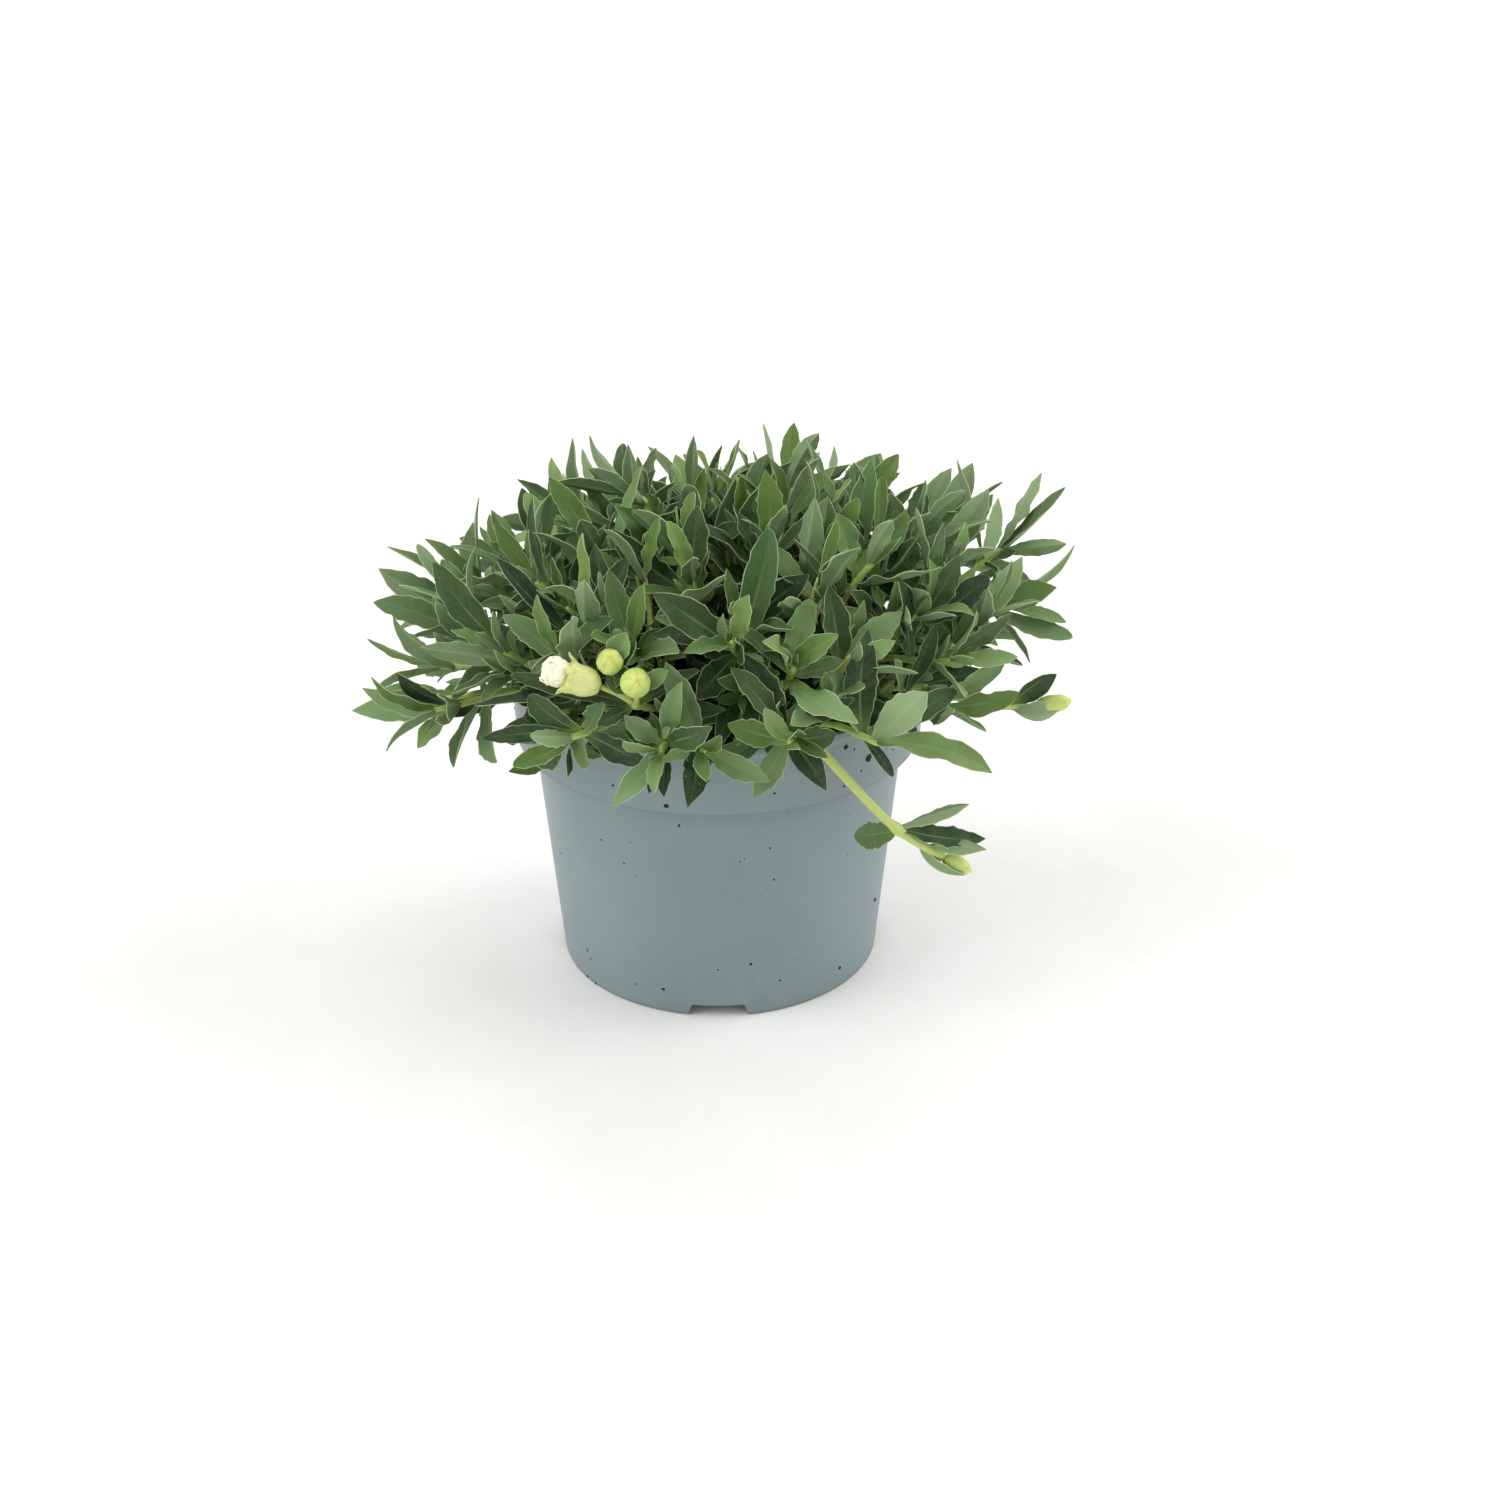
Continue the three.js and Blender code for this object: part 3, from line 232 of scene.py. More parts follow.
# Stems that flower: the path from the soil, branches, and leaves by place on the path and as above
FLOWER_STEM = Named(
    name="flowering_stem", number=101, radius=1.2,
    path=[[-8, -27, 82], [-12, -42, 100], [-17, -64, 111], [-22, -75, 117]],
    branches=[
        [[-25.5, -76, 120.5], [-30.55, -76.5, 123.1]],
        [[-23.4, -72.4, 121], [-27.2, -72.85, 126.7]],
        [[-20.8, -77.3, 122.2]],
    ],
    leaves=[
        [2.4, 180, 17, 40, 7], [2.85, 150, 50, 18, 6], [2.9, 20, 28, 20, 6],
        [2.1, 340, 12, 22, 7], [2.95, 215, -22, 13, 5],
    ],
)
TRAILING = Named(
    name="trailing_stem", number=102, radius=1.7, branches=[],
    path=[
        [19, -17, 82], [22, -36, 98], [24, -55, 105.5], [28, -65.5, 101.5],
        [40, -68, 87.5], [52, -66.5, 74], [65.6, -63.7, 63.4],
    ],
    leaves=[
        [5.05, 192, 4, 16, 11, 268, 24], [5.0, 2, 24, 22, 6], [4.95, 12, -14, 28, 8, 270, 50],
        [5.95, 4, 8, 17, 6], [5.8, 350, -46, 18, 7],
    ],
)
RIGHT_STEM = Named(
    name="right_bud_stem", number=103, radius=1.35, branches=[],
    path=[[24, -9, 82], [34, -14, 98], [58, -24, 104.5], [77, -30, 97], [93.7, -31.1, 95.9]],
    leaves=[[3.92, 4, 38, 19, 6], [3.9, 350, -8, 18, 7]],
)
# Bracts that cup the buds of the side stems, by stem and leaf: how far back along the stem they begin,
# first and last direction, upper side, length, width, fold and how far the tip hooks away
CUPS = {
    (102, 3): [5, [355, 24], [350, -26], [0, 0.6, -0.8], 18.5, 7, 0.5, 2.2],
    (102, 4): [5, [355, -72], [352, 0], [0.1, 0.6, 0.8], 21, 6.5, 0.5, -0.5],
    (103, 0): [4.5, [10, 54], [12, 18], [0.1, -0.8, -0.3], 17.5, 9.5, 0.45, 0],
    (103, 1): [4.5, [328, -22], [10, 24], [0, 1, 0.25], 17, 9.5, 0.45, 0],
}


# Buds: centre, the axis of their shape, where their pattern ends, length and radius; bracts by place
# around the bud, opening and inward bend, length, width and how far they are folded
def new_bud(centre, axis, facing, length, radius, *bracts):
    return Named(
        centre=np.array(centre, float), axis=heading(*axis), pole=heading(*facing),
        length=length, radius=radius, bracts=bracts,
    )


PETALS = new_bud([-42.65, -77.78, 128.1], [186, 22], [186, 22], 7.8, 4.2)
BUDS = {
    "flower_calyx": new_bud([-35.2, -77, 125], [186, 22], [186, 22], 9.4, 3.9),
    "round_bud_upper": new_bud(
        [-28.2, -75.6, 130.2], [250, 50], [281, 44], 7.6, 3.6,
        (222, 72, -0.7, 11.5, 8, 0.5), (266, 62, -0.3, 11.5, 8, 0.4), (165, 80, -1.1, 11, 7, 0.6),
    ),
    "round_bud_lower": new_bud(
        [-21.2, -80.2, 126], [262, 52], [284, 30], 8.6, 4.1,
        (350, 76, -0.35, 10, 9.5, 0.4), (216, 74, -0.2, 10.5, 6.5, 0.35), (100, 74, -0.9, 9, 6, 0.5),
    ),
    "trailing_bud": new_bud([70, -63.6, 60.8], [0, -30], [2, -28], 9.4, 2.5),
    "right_bud": new_bud([99.5, -31.5, 97.4], [356, 14], [356, 12], 11, 2.7),
}


# Curves, measured along their length in 200 steps
class Curve:
    def measure(self):
        self.knots = np.linspace(0, 1, 201)
        steps = np.linalg.norm(np.diff(self.point(self.knots), axis=0), axis=1)
        self.lengths = np.concatenate([[0], np.cumsum(steps)])
        self.length = self.lengths[-1]

    def share(self, u):
        return np.interp(np.asarray(u) * self.length, self.lengths, self.knots)

    def point_at(self, u):
        return self.point(self.share(u))

    def tangent(self, t):
        low, high = (np.clip(np.asarray(t) + step, 0, 1) for step in (-0.0001, 0.0001))
        return unit(self.point(high) - self.point(low))

    def tangent_at(self, u):
        return self.tangent(self.share(u))

    def spaced(self, count):
        return self.point_at(np.linspace(0, 1, count + 1))

    def down(self, distance):
        """The point and the direction of the curve at a distance from its end."""
        u = 1 - distance / self.length
        return self.point_at(u), self.tangent_at(u)


class Bezier(Curve):
    def __init__(self, *corners):
        self.corners = [np.asarray(c, float) for c in corners]
        self.measure()

    def point(self, t):
        t = np.asarray(t, float)[..., None]
        a, b, c, d = self.corners
        return (1 - t) ** 3 * a + 3 * t * (1 - t) ** 2 * b + 3 * t * t * (1 - t) * c + t**3 * d


class Through(Curve):
    """Smooth curve through points, with knots spaced by the root of their distances."""

    def __init__(self, points):
        p = np.asarray(points, float)
        self.points = np.vstack([2 * p[0] - p[1], p, 2 * p[-1] - p[-2]])
        self.measure()

    def point(self, t):
        spans = len(self.points) - 3
        place = np.asarray(t, float) * spans
        first = np.minimum(np.floor(place).astype(int), spans - 1)
        w = (place - first)[..., None]
        a, b, c, d = (self.points[first + k] for k in range(4))
        gap = [np.sum((q - p) ** 2, axis=-1, keepdims=True) ** 0.25 for p, q in ((a, b), (b, c), (c, d))]
        leave = ((b - a) / gap[0] - (c - a) / (gap[0] + gap[1]) + (c - b) / gap[1]) * gap[1]
        reach = ((c - b) / gap[1] - (d - b) / (gap[1] + gap[2]) + (d - c) / gap[2]) * gap[1]
        bend = -3 * b + 3 * c - 2 * leave - reach
        turn = 2 * b - 2 * c + leave + reach
        return b + leave * w + bend * w * w + turn * w**3


# Stems, grown by the same rule as the part's
def stem_curve(crown, aim, number, attempt):
    flat = np.array([crown[0], crown[1], 0.0])
    away = np.linalg.norm(flat)
    out = flat / away
    aside = np.array([-out[1], out[0], 0])
    stray = 0 if attempt == 0 else 2 + attempt * 0.12
    foot = out * (min(away * ROOT_SCALE + 2, ROOT_REACH) + stray * (2 * draw(number, 70, attempt) - 1))
    foot = foot + aside * stray * (2 * draw(number, 71, attempt) - 1)
    foot[2] = SOIL_TOP - ROOT_DEPTH
    span = np.linalg.norm(foot - crown)
    lean = UP + out * 0.75 * (away / DOME_REACH)
    lean = unit(lean + aside * 0.15 * stray * (draw(number, 72, attempt) - 0.5))
    low = foot + lean * span * (0.55 if crown[2] < 112 else 0.42)
    high = crown - aim * span * 0.34
    if crown[2] < 112:
        high[2] = max(high[2], POT_HEIGHT + 7)
    return Bezier(foot, low, high, crown)


def fork_curve(first, crown, aim):
    at = FORK_AT / STEM_STEPS
    start = first.point_at(at)
    span = np.linalg.norm(crown - start)
    return Bezier(start, start + first.tangent_at(at) * span * 0.35, crown - aim * span * 0.35, crown)


def curve_clear(curve, radius, others):
    points = curve.spaced(20)
    r = np.hypot(points[:, 0], points[:, 1])
    z = points[:, 2]
    over_lip = (z > SOIL_TOP + 4) & (r > 59) & (r < RIM_RADIUS + radius + 1)
    if np.any(over_lip & (z < POT_HEIGHT + radius + 0.9)):
        return False
    for run, other_radius in others:
        apart = np.sum((points[:, None] - run[None]) ** 2, axis=2)
        if apart.min() < (radius + other_radius + 1.8) ** 2:
            return False
    return True


def add_crown(stem, curve, radius, told):
    crown = Named(number=len(stem.crowns), curve=curve, radius=radius, told=told)
    crown.chord = curve.spaced(FORK_STEPS if stem.crowns else STEM_STEPS)
    crown.points = curve.spaced(20)
    stem.crowns.append(crown)
    return crown


def grow_path_stems():
    stems = []
    for spec in (FLOWER_STEM, TRAILING, RIGHT_STEM):
        curve = Through(spec.path)
        branches = [Through([curve.point(0.97), *branch]) for branch in spec.branches]
        stems.append(spec.but(curve=curve, branches=branches))
    runs = [(stem.curve.spaced(30), stem.radius) for stem in stems]
    runs += [(branch.spaced(6), FLOWER_STEM.radius) for branch in stems[0].branches]
    runs += [(bud.centre[None], bud.radius) for bud in (PETALS, *BUDS.values())]
    return stems, runs


def spread_crowns(taken):
    crowns = []
    left_out = []
    for i in range(SPREAD_CROWNS):
        r = DOME_REACH * math.sqrt((i + 0.6) / SPREAD_CROWNS) * (0.985 + 0.03 * draw(300, i))
        angle = i * math.pi * (3 - math.sqrt(5)) + 0.5 * (draw(301, i) - 0.5)
        share = min(1, r / DOME_REACH)
        z = DOME_FOOT + DOME_RISE * math.sqrt(max(0, 1 - share * share)) + 5 * (draw(302, i) - 0.5)
        crown = np.array([r * math.cos(angle), r * math.sin(angle), max(z, DOME_FOOT + 3)])
        crown[2] += DOME_LEAN * max(0, crown[0] - 12)
        crown[1] += DOME_BACK
        if all(np.linalg.norm(other - crown) > CROWN_SPACING for other in taken):
            crowns.append(crown)
            taken.append(crown)
        else:
            left_out.append(crown)
    return crowns, left_out


def crown_aim(crown, number):
    aim = unit(crown - np.array([0, 0, STEM_FOCUS]))
    return unit(aim + heading(360 * draw(number, 60), 0) * 0.22)


def own_stem(number, crown, aim, radius, runs, told):
    for attempt in range(60):
        curve = stem_curve(crown, aim, number, attempt)
        if curve_clear(curve, radius, runs):
            break
    else:
        if told is None:
            return None
    stem = Named(number=number, crowns=[])
    runs.append((add_crown(stem, curve, radius, told or []).points, radius))
    return stem


def forked(stem, crown, aim, radius, clear_radius, runs, told):
    first = stem.crowns[0]
    branch = fork_curve(first.curve, crown, aim)
    others = [run for run in runs if run[0] is not first.points]
    if not curve_clear(branch, clear_radius, others):
        return False
    runs.append((add_crown(stem, branch, radius * 0.93, told).points[4:], radius))
    return True


def grow_stems(path_stems, runs):
    """The leafy stems in the order of their nodes, and the places in the dome that stay free."""
    stems = []
    by_order = {}
    places = []
    for order, (crown, toward, told, *more) in enumerate(PLACED):
        crown = np.array(crown, float)
        aim = heading(*toward)
        fork = more[0] if more else None
        radius = more[1] if len(more) > 1 else STEM_RADIUS
        places.append(crown)
        if fork is not None and forked(by_order[fork], crown, aim, radius, radius, runs, told):
            continue
        by_order[order] = own_stem(order, crown, aim, radius, runs, told)
        stems.append(by_order[order])
    crowns, left_out = spread_crowns(places)
    for order, crown in enumerate(crowns):
        number = 200 + order
        aim = crown_aim(crown, number)
        radius = STEM_RADIUS * (0.95 + 0.15 * draw(number, 61))

        def away(stem):
            return np.linalg.norm(stem.crowns[0].points[-1] - crown)

        near = sorted((s for s in stems if len(s.crowns) < 3 and away(s) < 42), key=away)
        if order % 4 and any(forked(s, crown, aim, radius, radius * 0.93, runs, []) for s in near):
            continue
        stem = None
        if len(stems) + len(path_stems) < MOST_STEMS:
            stem = own_stem(number, crown, aim, radius, runs, None)
        if stem:
            stems.append(stem)
        else:
            left_out.append(crown)
    for order, stem in enumerate(stems):
        stem.name = f"leafy_stem_{order + 1:02d}"
    return stems, left_out


# Slots: the places where leaves sit, and the leaf of a slot
def plain_slot(keys, pair, root, axis, outward, opened, length, width, lift=0.1, recurve=0.1, wilt=0):
    angle = math.radians(opened)
    start = axis * math.cos(angle) + outward * math.sin(angle)
    droop = max(0, -0.12 - start[2])
    start[2] += 0.75 * droop
    return Named(
        keys=keys, pair=pair, told=False, root=root, axis=axis, outward=outward, start=unit(start),
        upper=axis * math.sin(angle) - outward * math.cos(angle),
        length=length * (1 - wilt * droop), width=width, recurve=recurve, lift=lift,
    )


def pair_slots(keys, pair, root, axis, turn, *sizes):
    """Two slots that face each other; sizes are as in plain_slot, from how far they are opened."""
    seen = unit(np.cross(axis, UP))
    return [
        plain_slot((*keys, pair, side), pair, root, axis, spun(seen, axis, turn + side * math.pi), *sizes)
        for side in range(2)
    ]


def crown_turn(keys):
    return TURN * draw(*keys, 50)


def crown_size(keys):
    return 0.9 + 0.22 * draw(*keys, 51)


def crown_slots(keys, curve, size, long=1, wide=1, wilt=0, place=None):
    """The three pairs under the tip of a crown, on its curve or on the place that is given."""
    slots = []
    for pair in range(3):
        u = 1 - min(PAIR_DISTANCE[pair] * size, curve.length * 0.45) / curve.length
        slots += pair_slots(
            keys, pair, place(u) if place else curve.point_at(u), curve.tangent_at(u),
            crown_turn(keys) + pair * math.pi / 2, PAIR_ANGLE[pair], PAIR_LENGTH[pair] * size * long,
            PAIR_WIDTH[pair] * size * wide, PAIR_LIFT[pair], PAIR_RECURVE[pair], wilt,
        )
    return slots


def upper_side(aim, axis, face):
    towards = heading(*face) if len(face) == 2 else axis
    upper = towards - aim * np.dot(towards, aim)
    if np.linalg.norm(upper) < 0.25:
        upper = upper + UP * 0.5 - aim * 0.5 * aim[2]
    return unit(upper)


def slots_of(stem, crown):
    """The slots of a crown, of which some take the leaves that are told apart."""
    def chord_point(u):
        place = u * (len(crown.chord) - 1)
        first = min(int(place), len(crown.chord) - 2)
        return crown.chord[first] + (crown.chord[first + 1] - crown.chord[first]) * (place - first)

    keys = stem.number, crown.number
    size = crown_size(keys)
    length = crown.curve.length
    slots = crown_slots(keys, crown.curve, size, wilt=0.45, place=chord_point)
    for azimuth, rise, leaf_length, leaf_width, *face in crown.told:
        aim = heading(azimuth, rise)
        free = [slot for slot in slots if not slot.told]
        if not free:
            break
        slot = max(free, key=lambda s: np.dot(s.start, aim) - (0.2 if s.pair == 0 else 0))
        along = min(PAIR_DISTANCE[slot.pair] * size, 6, length * 0.4)
        vars(slot).update(
            told=True, start=unit(aim - UP * 0.12), outward=unit(aim - slot.axis * np.dot(aim, slot.axis)),
            root=chord_point(1 - along / length), upper=upper_side(aim, slot.axis, face),
            length=leaf_length, width=leaf_width, recurve=0, lift=0.24,
        )
    return slots


def path_slots(stem):
    slots = []
    for order, (at, azimuth, rise, length, width, *face) in enumerate(stem.leaves):
        u = at / (len(stem.path) - 1)
        axis = stem.curve.tangent(u)
        aim = heading(azimuth, rise)
        slots.append(Named(
            keys=(stem.number, 0, 9, order), pair=2, told=True, root=stem.curve.point(u), axis=axis,
            outward=unit(aim - axis * np.dot(aim, axis)), start=unit(aim - UP * 0.1),
            upper=upper_side(aim, axis, face), length=length, width=width, recurve=0, lift=0.2,
        ))
    return slots


def leaf_for(slot, attempt=0):
    def roll(channel):
        return 2 * draw(*slot.keys, attempt, channel) - 1

    loose = 0.35 + 0.03 * attempt if slot.told else 1
    stray = 0.6 if attempt == 0 else 1 + attempt * 0.035
    sideways = unit(np.cross(slot.outward, slot.axis))
    start = slot.start + sideways * roll(0) * 0.3 * stray * loose
    start = unit(start + slot.axis * roll(1) * 0.3 * stray * loose)
    end = start + slot.outward * (slot.recurve + roll(2) * 0.35 * stray)
    end = unit(end + UP * (slot.lift + roll(3) * 0.2) + sideways * roll(4) * 0.25)
    shrink = 1 - 0.012 * attempt
    return Named(
        keys=slot.keys, pair=slot.pair, root=slot.root - start * 0.5, start=start, end=end,
        normal=slot.upper + sideways * roll(5) * 0.25 * stray,
        length=slot.length * shrink * (1 + 0.1 * roll(6) * loose),
        width=slot.width * math.sqrt(shrink) * (1 + 0.12 * roll(7)),
        twist=(0.25 if slot.told else 0.45) * roll(8) * stray,
        fold=0.3 + 0.14 * roll(9), calm=1, hook=None,
    )


def leaf_frame(leaf, t):
    """Points of the midline, the direction across and the upper side, at the shares t of its length."""
    t = np.asarray(t, float)[:, None]
    middle = leaf.root + leaf.start * leaf.length * 0.5
    tip = middle + leaf.end * leaf.length * 0.5
    point = (1 - t) ** 2 * leaf.root + 2 * t * (1 - t) * middle + t * t * tip
    along = unit((1 - t) * leaf.start + t * leaf.end)
    across = spun(unit(np.cross(along, leaf.normal)), along, (leaf.twist * t)[:, 0])
    return point, across, np.cross(across, along)


def node_points(name):
    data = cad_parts[name].data
    points = np.zeros(len(data.vertices) * 3)
    data.vertices.foreach_get("co", points)
    return points.reshape(-1, 3) / MM


def kept_leaf(slot, corners):
    """The try of a slot that the part kept: the one whose tip is a corner of the node."""
    for attempt in range(TRIES):
        leaf = leaf_for(slot, attempt)
        tip = leaf.root + (leaf.start + leaf.end) * leaf.length * 0.5
        if np.sum((corners - tip) ** 2, axis=1).min() < 0.03**2:
            return leaf
    return None


def half_width(leaf, t):
    """Half the width at the shares t of the length: narrow at the base, widest past the middle."""
    low, high = 1.1 + 0.5 * draw(*leaf.keys, 80), 0.86 + 0.26 * draw(*leaf.keys, 79)
    if draw(*leaf.keys, 77) < 0.12:
        low, high = 0.95, 0.62
    peak = low / (low + high)
    return leaf.width / 2 * ((t / peak) ** low * ((1 - t) / (1 - peak)) ** high + 0.2 * (1 - t) ** 6)


def leaf_bend(leaf, t, across, upper, loose):
    """How far the midline strays from its plain curve: a sideways bow and a tip that hooks down."""
    bow = loose * leaf.length * 0.09 * (draw(*leaf.keys, 89) - 0.5)
    hook = leaf.hook
    if hook is None:
        hook = loose * leaf.length * (0.15 * draw(*leaf.keys, 88) ** 1.6 - 0.02)
    t = t[:, None]
    return across * bow * np.sin(math.pi * t) - upper * hook * np.clip((t - 0.45) / 0.55, 0, 1) ** 3


# Meshes
def new_object(name, data):
    made = bpy.data.objects.new(name, data)
    bpy.context.scene.collection.objects.link(made)
    return made


def finish_piece(piece, slot, *nodes):
    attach(piece, "root")
    if nodes:
        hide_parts(*nodes)


class Form:
    """Corners, faces and marks of one mesh, gathered piece by piece."""

    def __init__(self):
        self.parts = []
        self.count = 0

    def add(self, corners, quads, triangles, marks, age, kind=0):
        self.parts.append((
            corners, quads + self.count, triangles + self.count, marks, np.full(len(corners), age),
            np.full(len(quads), kind), np.full(len(triangles), kind),
        ))
        self.count += len(corners)

    def piece(self, name, materials, smooth=True):
        joined = [np.concatenate(column) for column in zip(*self.parts)]
        corners, quads, triangles, marks, ages, quad_kinds, triangle_kinds = joined
        corners = np.clip(corners, BOX_LOW + BOX_MARGIN, BOX_HIGH - BOX_MARGIN) * MM
        mesh = bpy.data.meshes.new(name)
        mesh.from_pydata(corners.tolist(), [], quads.tolist() + triangles.tolist())
        layer = mesh.attributes.new("marks", "FLOAT_COLOR", "POINT")
        layer.data.foreach_set("color", marks.astype(np.float32).ravel())
        layer = mesh.attributes.new("age", "FLOAT", "POINT")
        layer.data.foreach_set("value", ages.astype(np.float32))
        for material in materials:
            mesh.materials.append(material)
        kinds = np.concatenate([quad_kinds, triangle_kinds])
        mesh.polygons.foreach_set("material_index", kinds.astype(np.int32))
        mesh.polygons.foreach_set("use_smooth", np.full(len(kinds), smooth))
        mesh.update()
        return new_object(name, mesh)


def grid_faces(rows, columns, closed):
    """Quads of a grid whose rows follow each other, with its columns closed to a ring or not."""
    i = np.arange(rows - 1)[:, None]
    j = np.arange(columns if closed else columns - 1)[None, :]
    k = (j + 1) % columns
    quads = [i * columns + j, i * columns + k, (i + 1) * columns + k, (i + 1) * columns + j]
    return np.stack(np.broadcast_arrays(*quads), axis=-1).reshape(-1, 4)


def ring_faces(rows, columns):
    """Faces of a body of rings that follow each other, closed at each end by one more corner."""
    first = np.arange(columns)
    after = (first + 1) % columns
    last = (rows - 1) * columns
    start = np.full_like(first, rows * columns)
    caps = [[after, first, start], [last + first, last + after, start + 1]]
    return grid_faces(rows, columns, True), np.concatenate([np.stack(cap, axis=1) for cap in caps])


def blade_faces(rows, columns):
    """Faces of a thin blade: upper and lower grids, the rim between them, its base and its tip."""
    low = rows * columns
    tip = 2 * low
    upper = grid_faces(rows, columns, False)
    i = np.arange(rows - 1) * columns
    first = np.stack([i, i + columns, i + columns + low, i + low], axis=1)
    i = i + columns - 1
    last = np.stack([i, i + low, i + columns + low, i + columns], axis=1)
    j = np.arange(columns - 1)
    base = np.stack([j, j + low, j + low + 1, j + 1], axis=1)
    j = j + (rows - 1) * columns
    top = np.stack([j, j + 1, np.full_like(j, tip)], axis=1)
    under = np.stack([j + low + 1, j + low, np.full_like(j, tip)], axis=1)
    sides = np.array([[j[0], tip, j[0] + low], [tip - 1, tip, low - 1]])
    quads = [upper, upper[:, ::-1] + low, first, last, base]
    return np.concatenate(quads), np.concatenate([top, under, sides])


def blade_grid(rows, *half):
    """Rows of a blade, its points across, mirrored about the midrib, and its faces."""
    across = np.array([*(-a for a in half[::-1]), 0, *half])
    return rows, across, blade_faces(rows, len(across))


FINE = blade_grid(17, 0.13, 0.55, 0.92, 1)
PLAIN = blade_grid(8, 0.3, 0.88, 1)
SMALL = blade_grid(5, 0.8, 1)
SMALL_LEAF = 15


def leaf_corners(leaf, rows, s, loose):
    """Corners and marks of a leaf with a channelled blade, a crisped edge and a keeled midrib."""
    t = np.append(0.975 * np.linspace(0, 1, rows) ** 0.92, 1)
    keys = leaf.keys
    calm = leaf.calm
    point, across, upper = leaf_frame(leaf, t)
    point = point + leaf_bend(leaf, t, across, upper, loose)
    more_twist = (0.9 * calm * (draw(*keys, 76) - 0.5) * t * t)[:, None]
    across, upper = (
        across * np.cos(more_twist) + upper * np.sin(more_twist),
        upper * np.cos(more_twist) - across * np.sin(more_twist),
    )
    half = (half_width(leaf, t[:-1]) * (0.82 + 0.16 * draw(*keys, 78)))[:, None]
    along = t[:-1, None]
    phase = np.where(s > 0, draw(*keys, 81), draw(*keys, 82))
    turns = 1.6 + 2.4 * draw(*keys, 83)
    crisp = calm * (0.2 + 1.1 * draw(*keys, 84) ** 2.5) * leaf.width / 9
    wave = np.sin(TURN * (turns * along + phase)) * np.sin(math.pi * along**0.8)
    ragged = 1 + 0.06 * calm * np.abs(s) * np.sin(TURN * (2.3 * turns * along + 2 * phase))
    teeth = np.sin(51 * along + 40 * phase) * np.sin(23 * along + 17 * phase)
    ragged = ragged + 0.05 * calm * np.abs(s) ** 6 * teeth
    out = s * half * ragged * math.cos(leaf.fold)
    lift = half * math.sin(leaf.fold) * np.abs(s) ** 1.25 + crisp * wave * s * s
    middle = np.exp(-((s / 0.1) ** 2))
    top = lift - 0.12 * middle * (1 - along)
    deep = 0.2 + 0.14 * (1 - np.abs(s)) + 0.34 * middle * (1.05 - along)
    blade = point[:-1, None] + across[:-1, None] * out[..., None]
    corners = np.stack([blade + upper[:-1, None] * z[..., None] for z in (top, top - deep)])
    marks = np.zeros((2, rows, len(s), 4))
    marks[..., 0] = 0.5 + 0.5 * s
    marks[..., 1] = along
    marks[..., 2] = draw(*keys, 85)
    marks[0, ..., 3] = 1
    tip_marks = [1, 1, draw(*keys, 85), 0.5]
    return np.vstack([corners.reshape(-1, 3), point[-1:]]), np.vstack([marks.reshape(-1, 4), tip_marks])


def add_blade(form, leaf, grid, age, kind=0, loose=1, told_marks=None):
    rows, across, faces = grid
    corners, marks = leaf_corners(leaf, rows, across, loose)
    for channel, value in (told_marks or {}).items():
        marks[:, channel] = value
    form.add(corners, *faces, marks, age, kind)


def add_more_leaf(form, leaf, age):
    add_blade(form, leaf, PLAIN if leaf.length > SMALL_LEAF else SMALL, age, loose=1.8)


def add_tube(form, points, radii, sides, key):
    """A round tube through points, closed at both ends with a small dome."""
    along = unit(np.gradient(points, axis=0))
    side = np.cross(along[0], UP)
    if np.linalg.norm(side) < 0.2:
        side = np.cross(along[0], [1.0, 0, 0])
    rings = []
    order = np.arange(sides)
    for point, direction, radius in zip(points, along, radii):
        side = unit(side - direction * np.dot(side, direction))
        ring = around(side, np.cross(direction, side), order * TURN / sides)
        rings.append(point + ring * radius)
    ends = [[points[0] - along[0] * radii[0] * 0.3], [points[-1] + along[-1] * radii[-1] * 0.5]]
    rows = len(points)
    corners = np.concatenate([*rings, *ends])
    marks = np.zeros((len(corners), 4))
    marks[:-2, 0] = np.tile(order / sides, rows)
    marks[:-2, 1] = np.repeat(np.linspace(0, 1, rows), sides)
    marks[-1, 1] = 1
    marks[:, 2] = draw(*key, 86)
    marks[:, 3] = 1
    form.add(corners, *ring_faces(rows, sides), marks, 0.5, 1)


def add_stem(form, curve, radius, key, nodes=()):
    """A stem along a curve, thinner to its tip and slightly swollen where its pairs of leaves sit."""
    u = np.linspace(0, 1, max(6, int(curve.length / 2.4)))
    radii = radius * (0.92 - 0.2 * u)
    for at in nodes:
        radii = radii + 0.16 * radius * np.exp(-(((u - at) * curve.length / 1.3) ** 2))
    add_tube(form, curve.point_at(u), radii, 8, key)


# More leaves than the part has: young ones at the tips, old ones down the stems, shoots between
CELL = 1.7
CROWDED = 0.05
MORE_TRIES = 7
TIP_PAIRS = [(0.2, 8, 8.5, 2.8), (0.7, 15, 13, 4.2)]
LOW_DISTANCE = [25, 34, 43, 52, 61]
AGE_OF_PAIR = {0: 0.25, 1: 0.55, 2: 0.8}
FRONT_RIM = (-58, 113)
INNER_GROUPS = 3


def in_pot(points):
    r = np.hypot(points[:, 0], points[:, 1])
    z = points[:, 2]
    over = (r > RIM_RADIUS + 0.7) | (z > POT_HEIGHT + 0.7)
    wall = (r > 61.2) & (z > COLLAR_LOW - 1)
    soil = (r <= 61.2) & (z < SOIL_TOP + 1.2)
    return np.any(~over & (wall | soil))


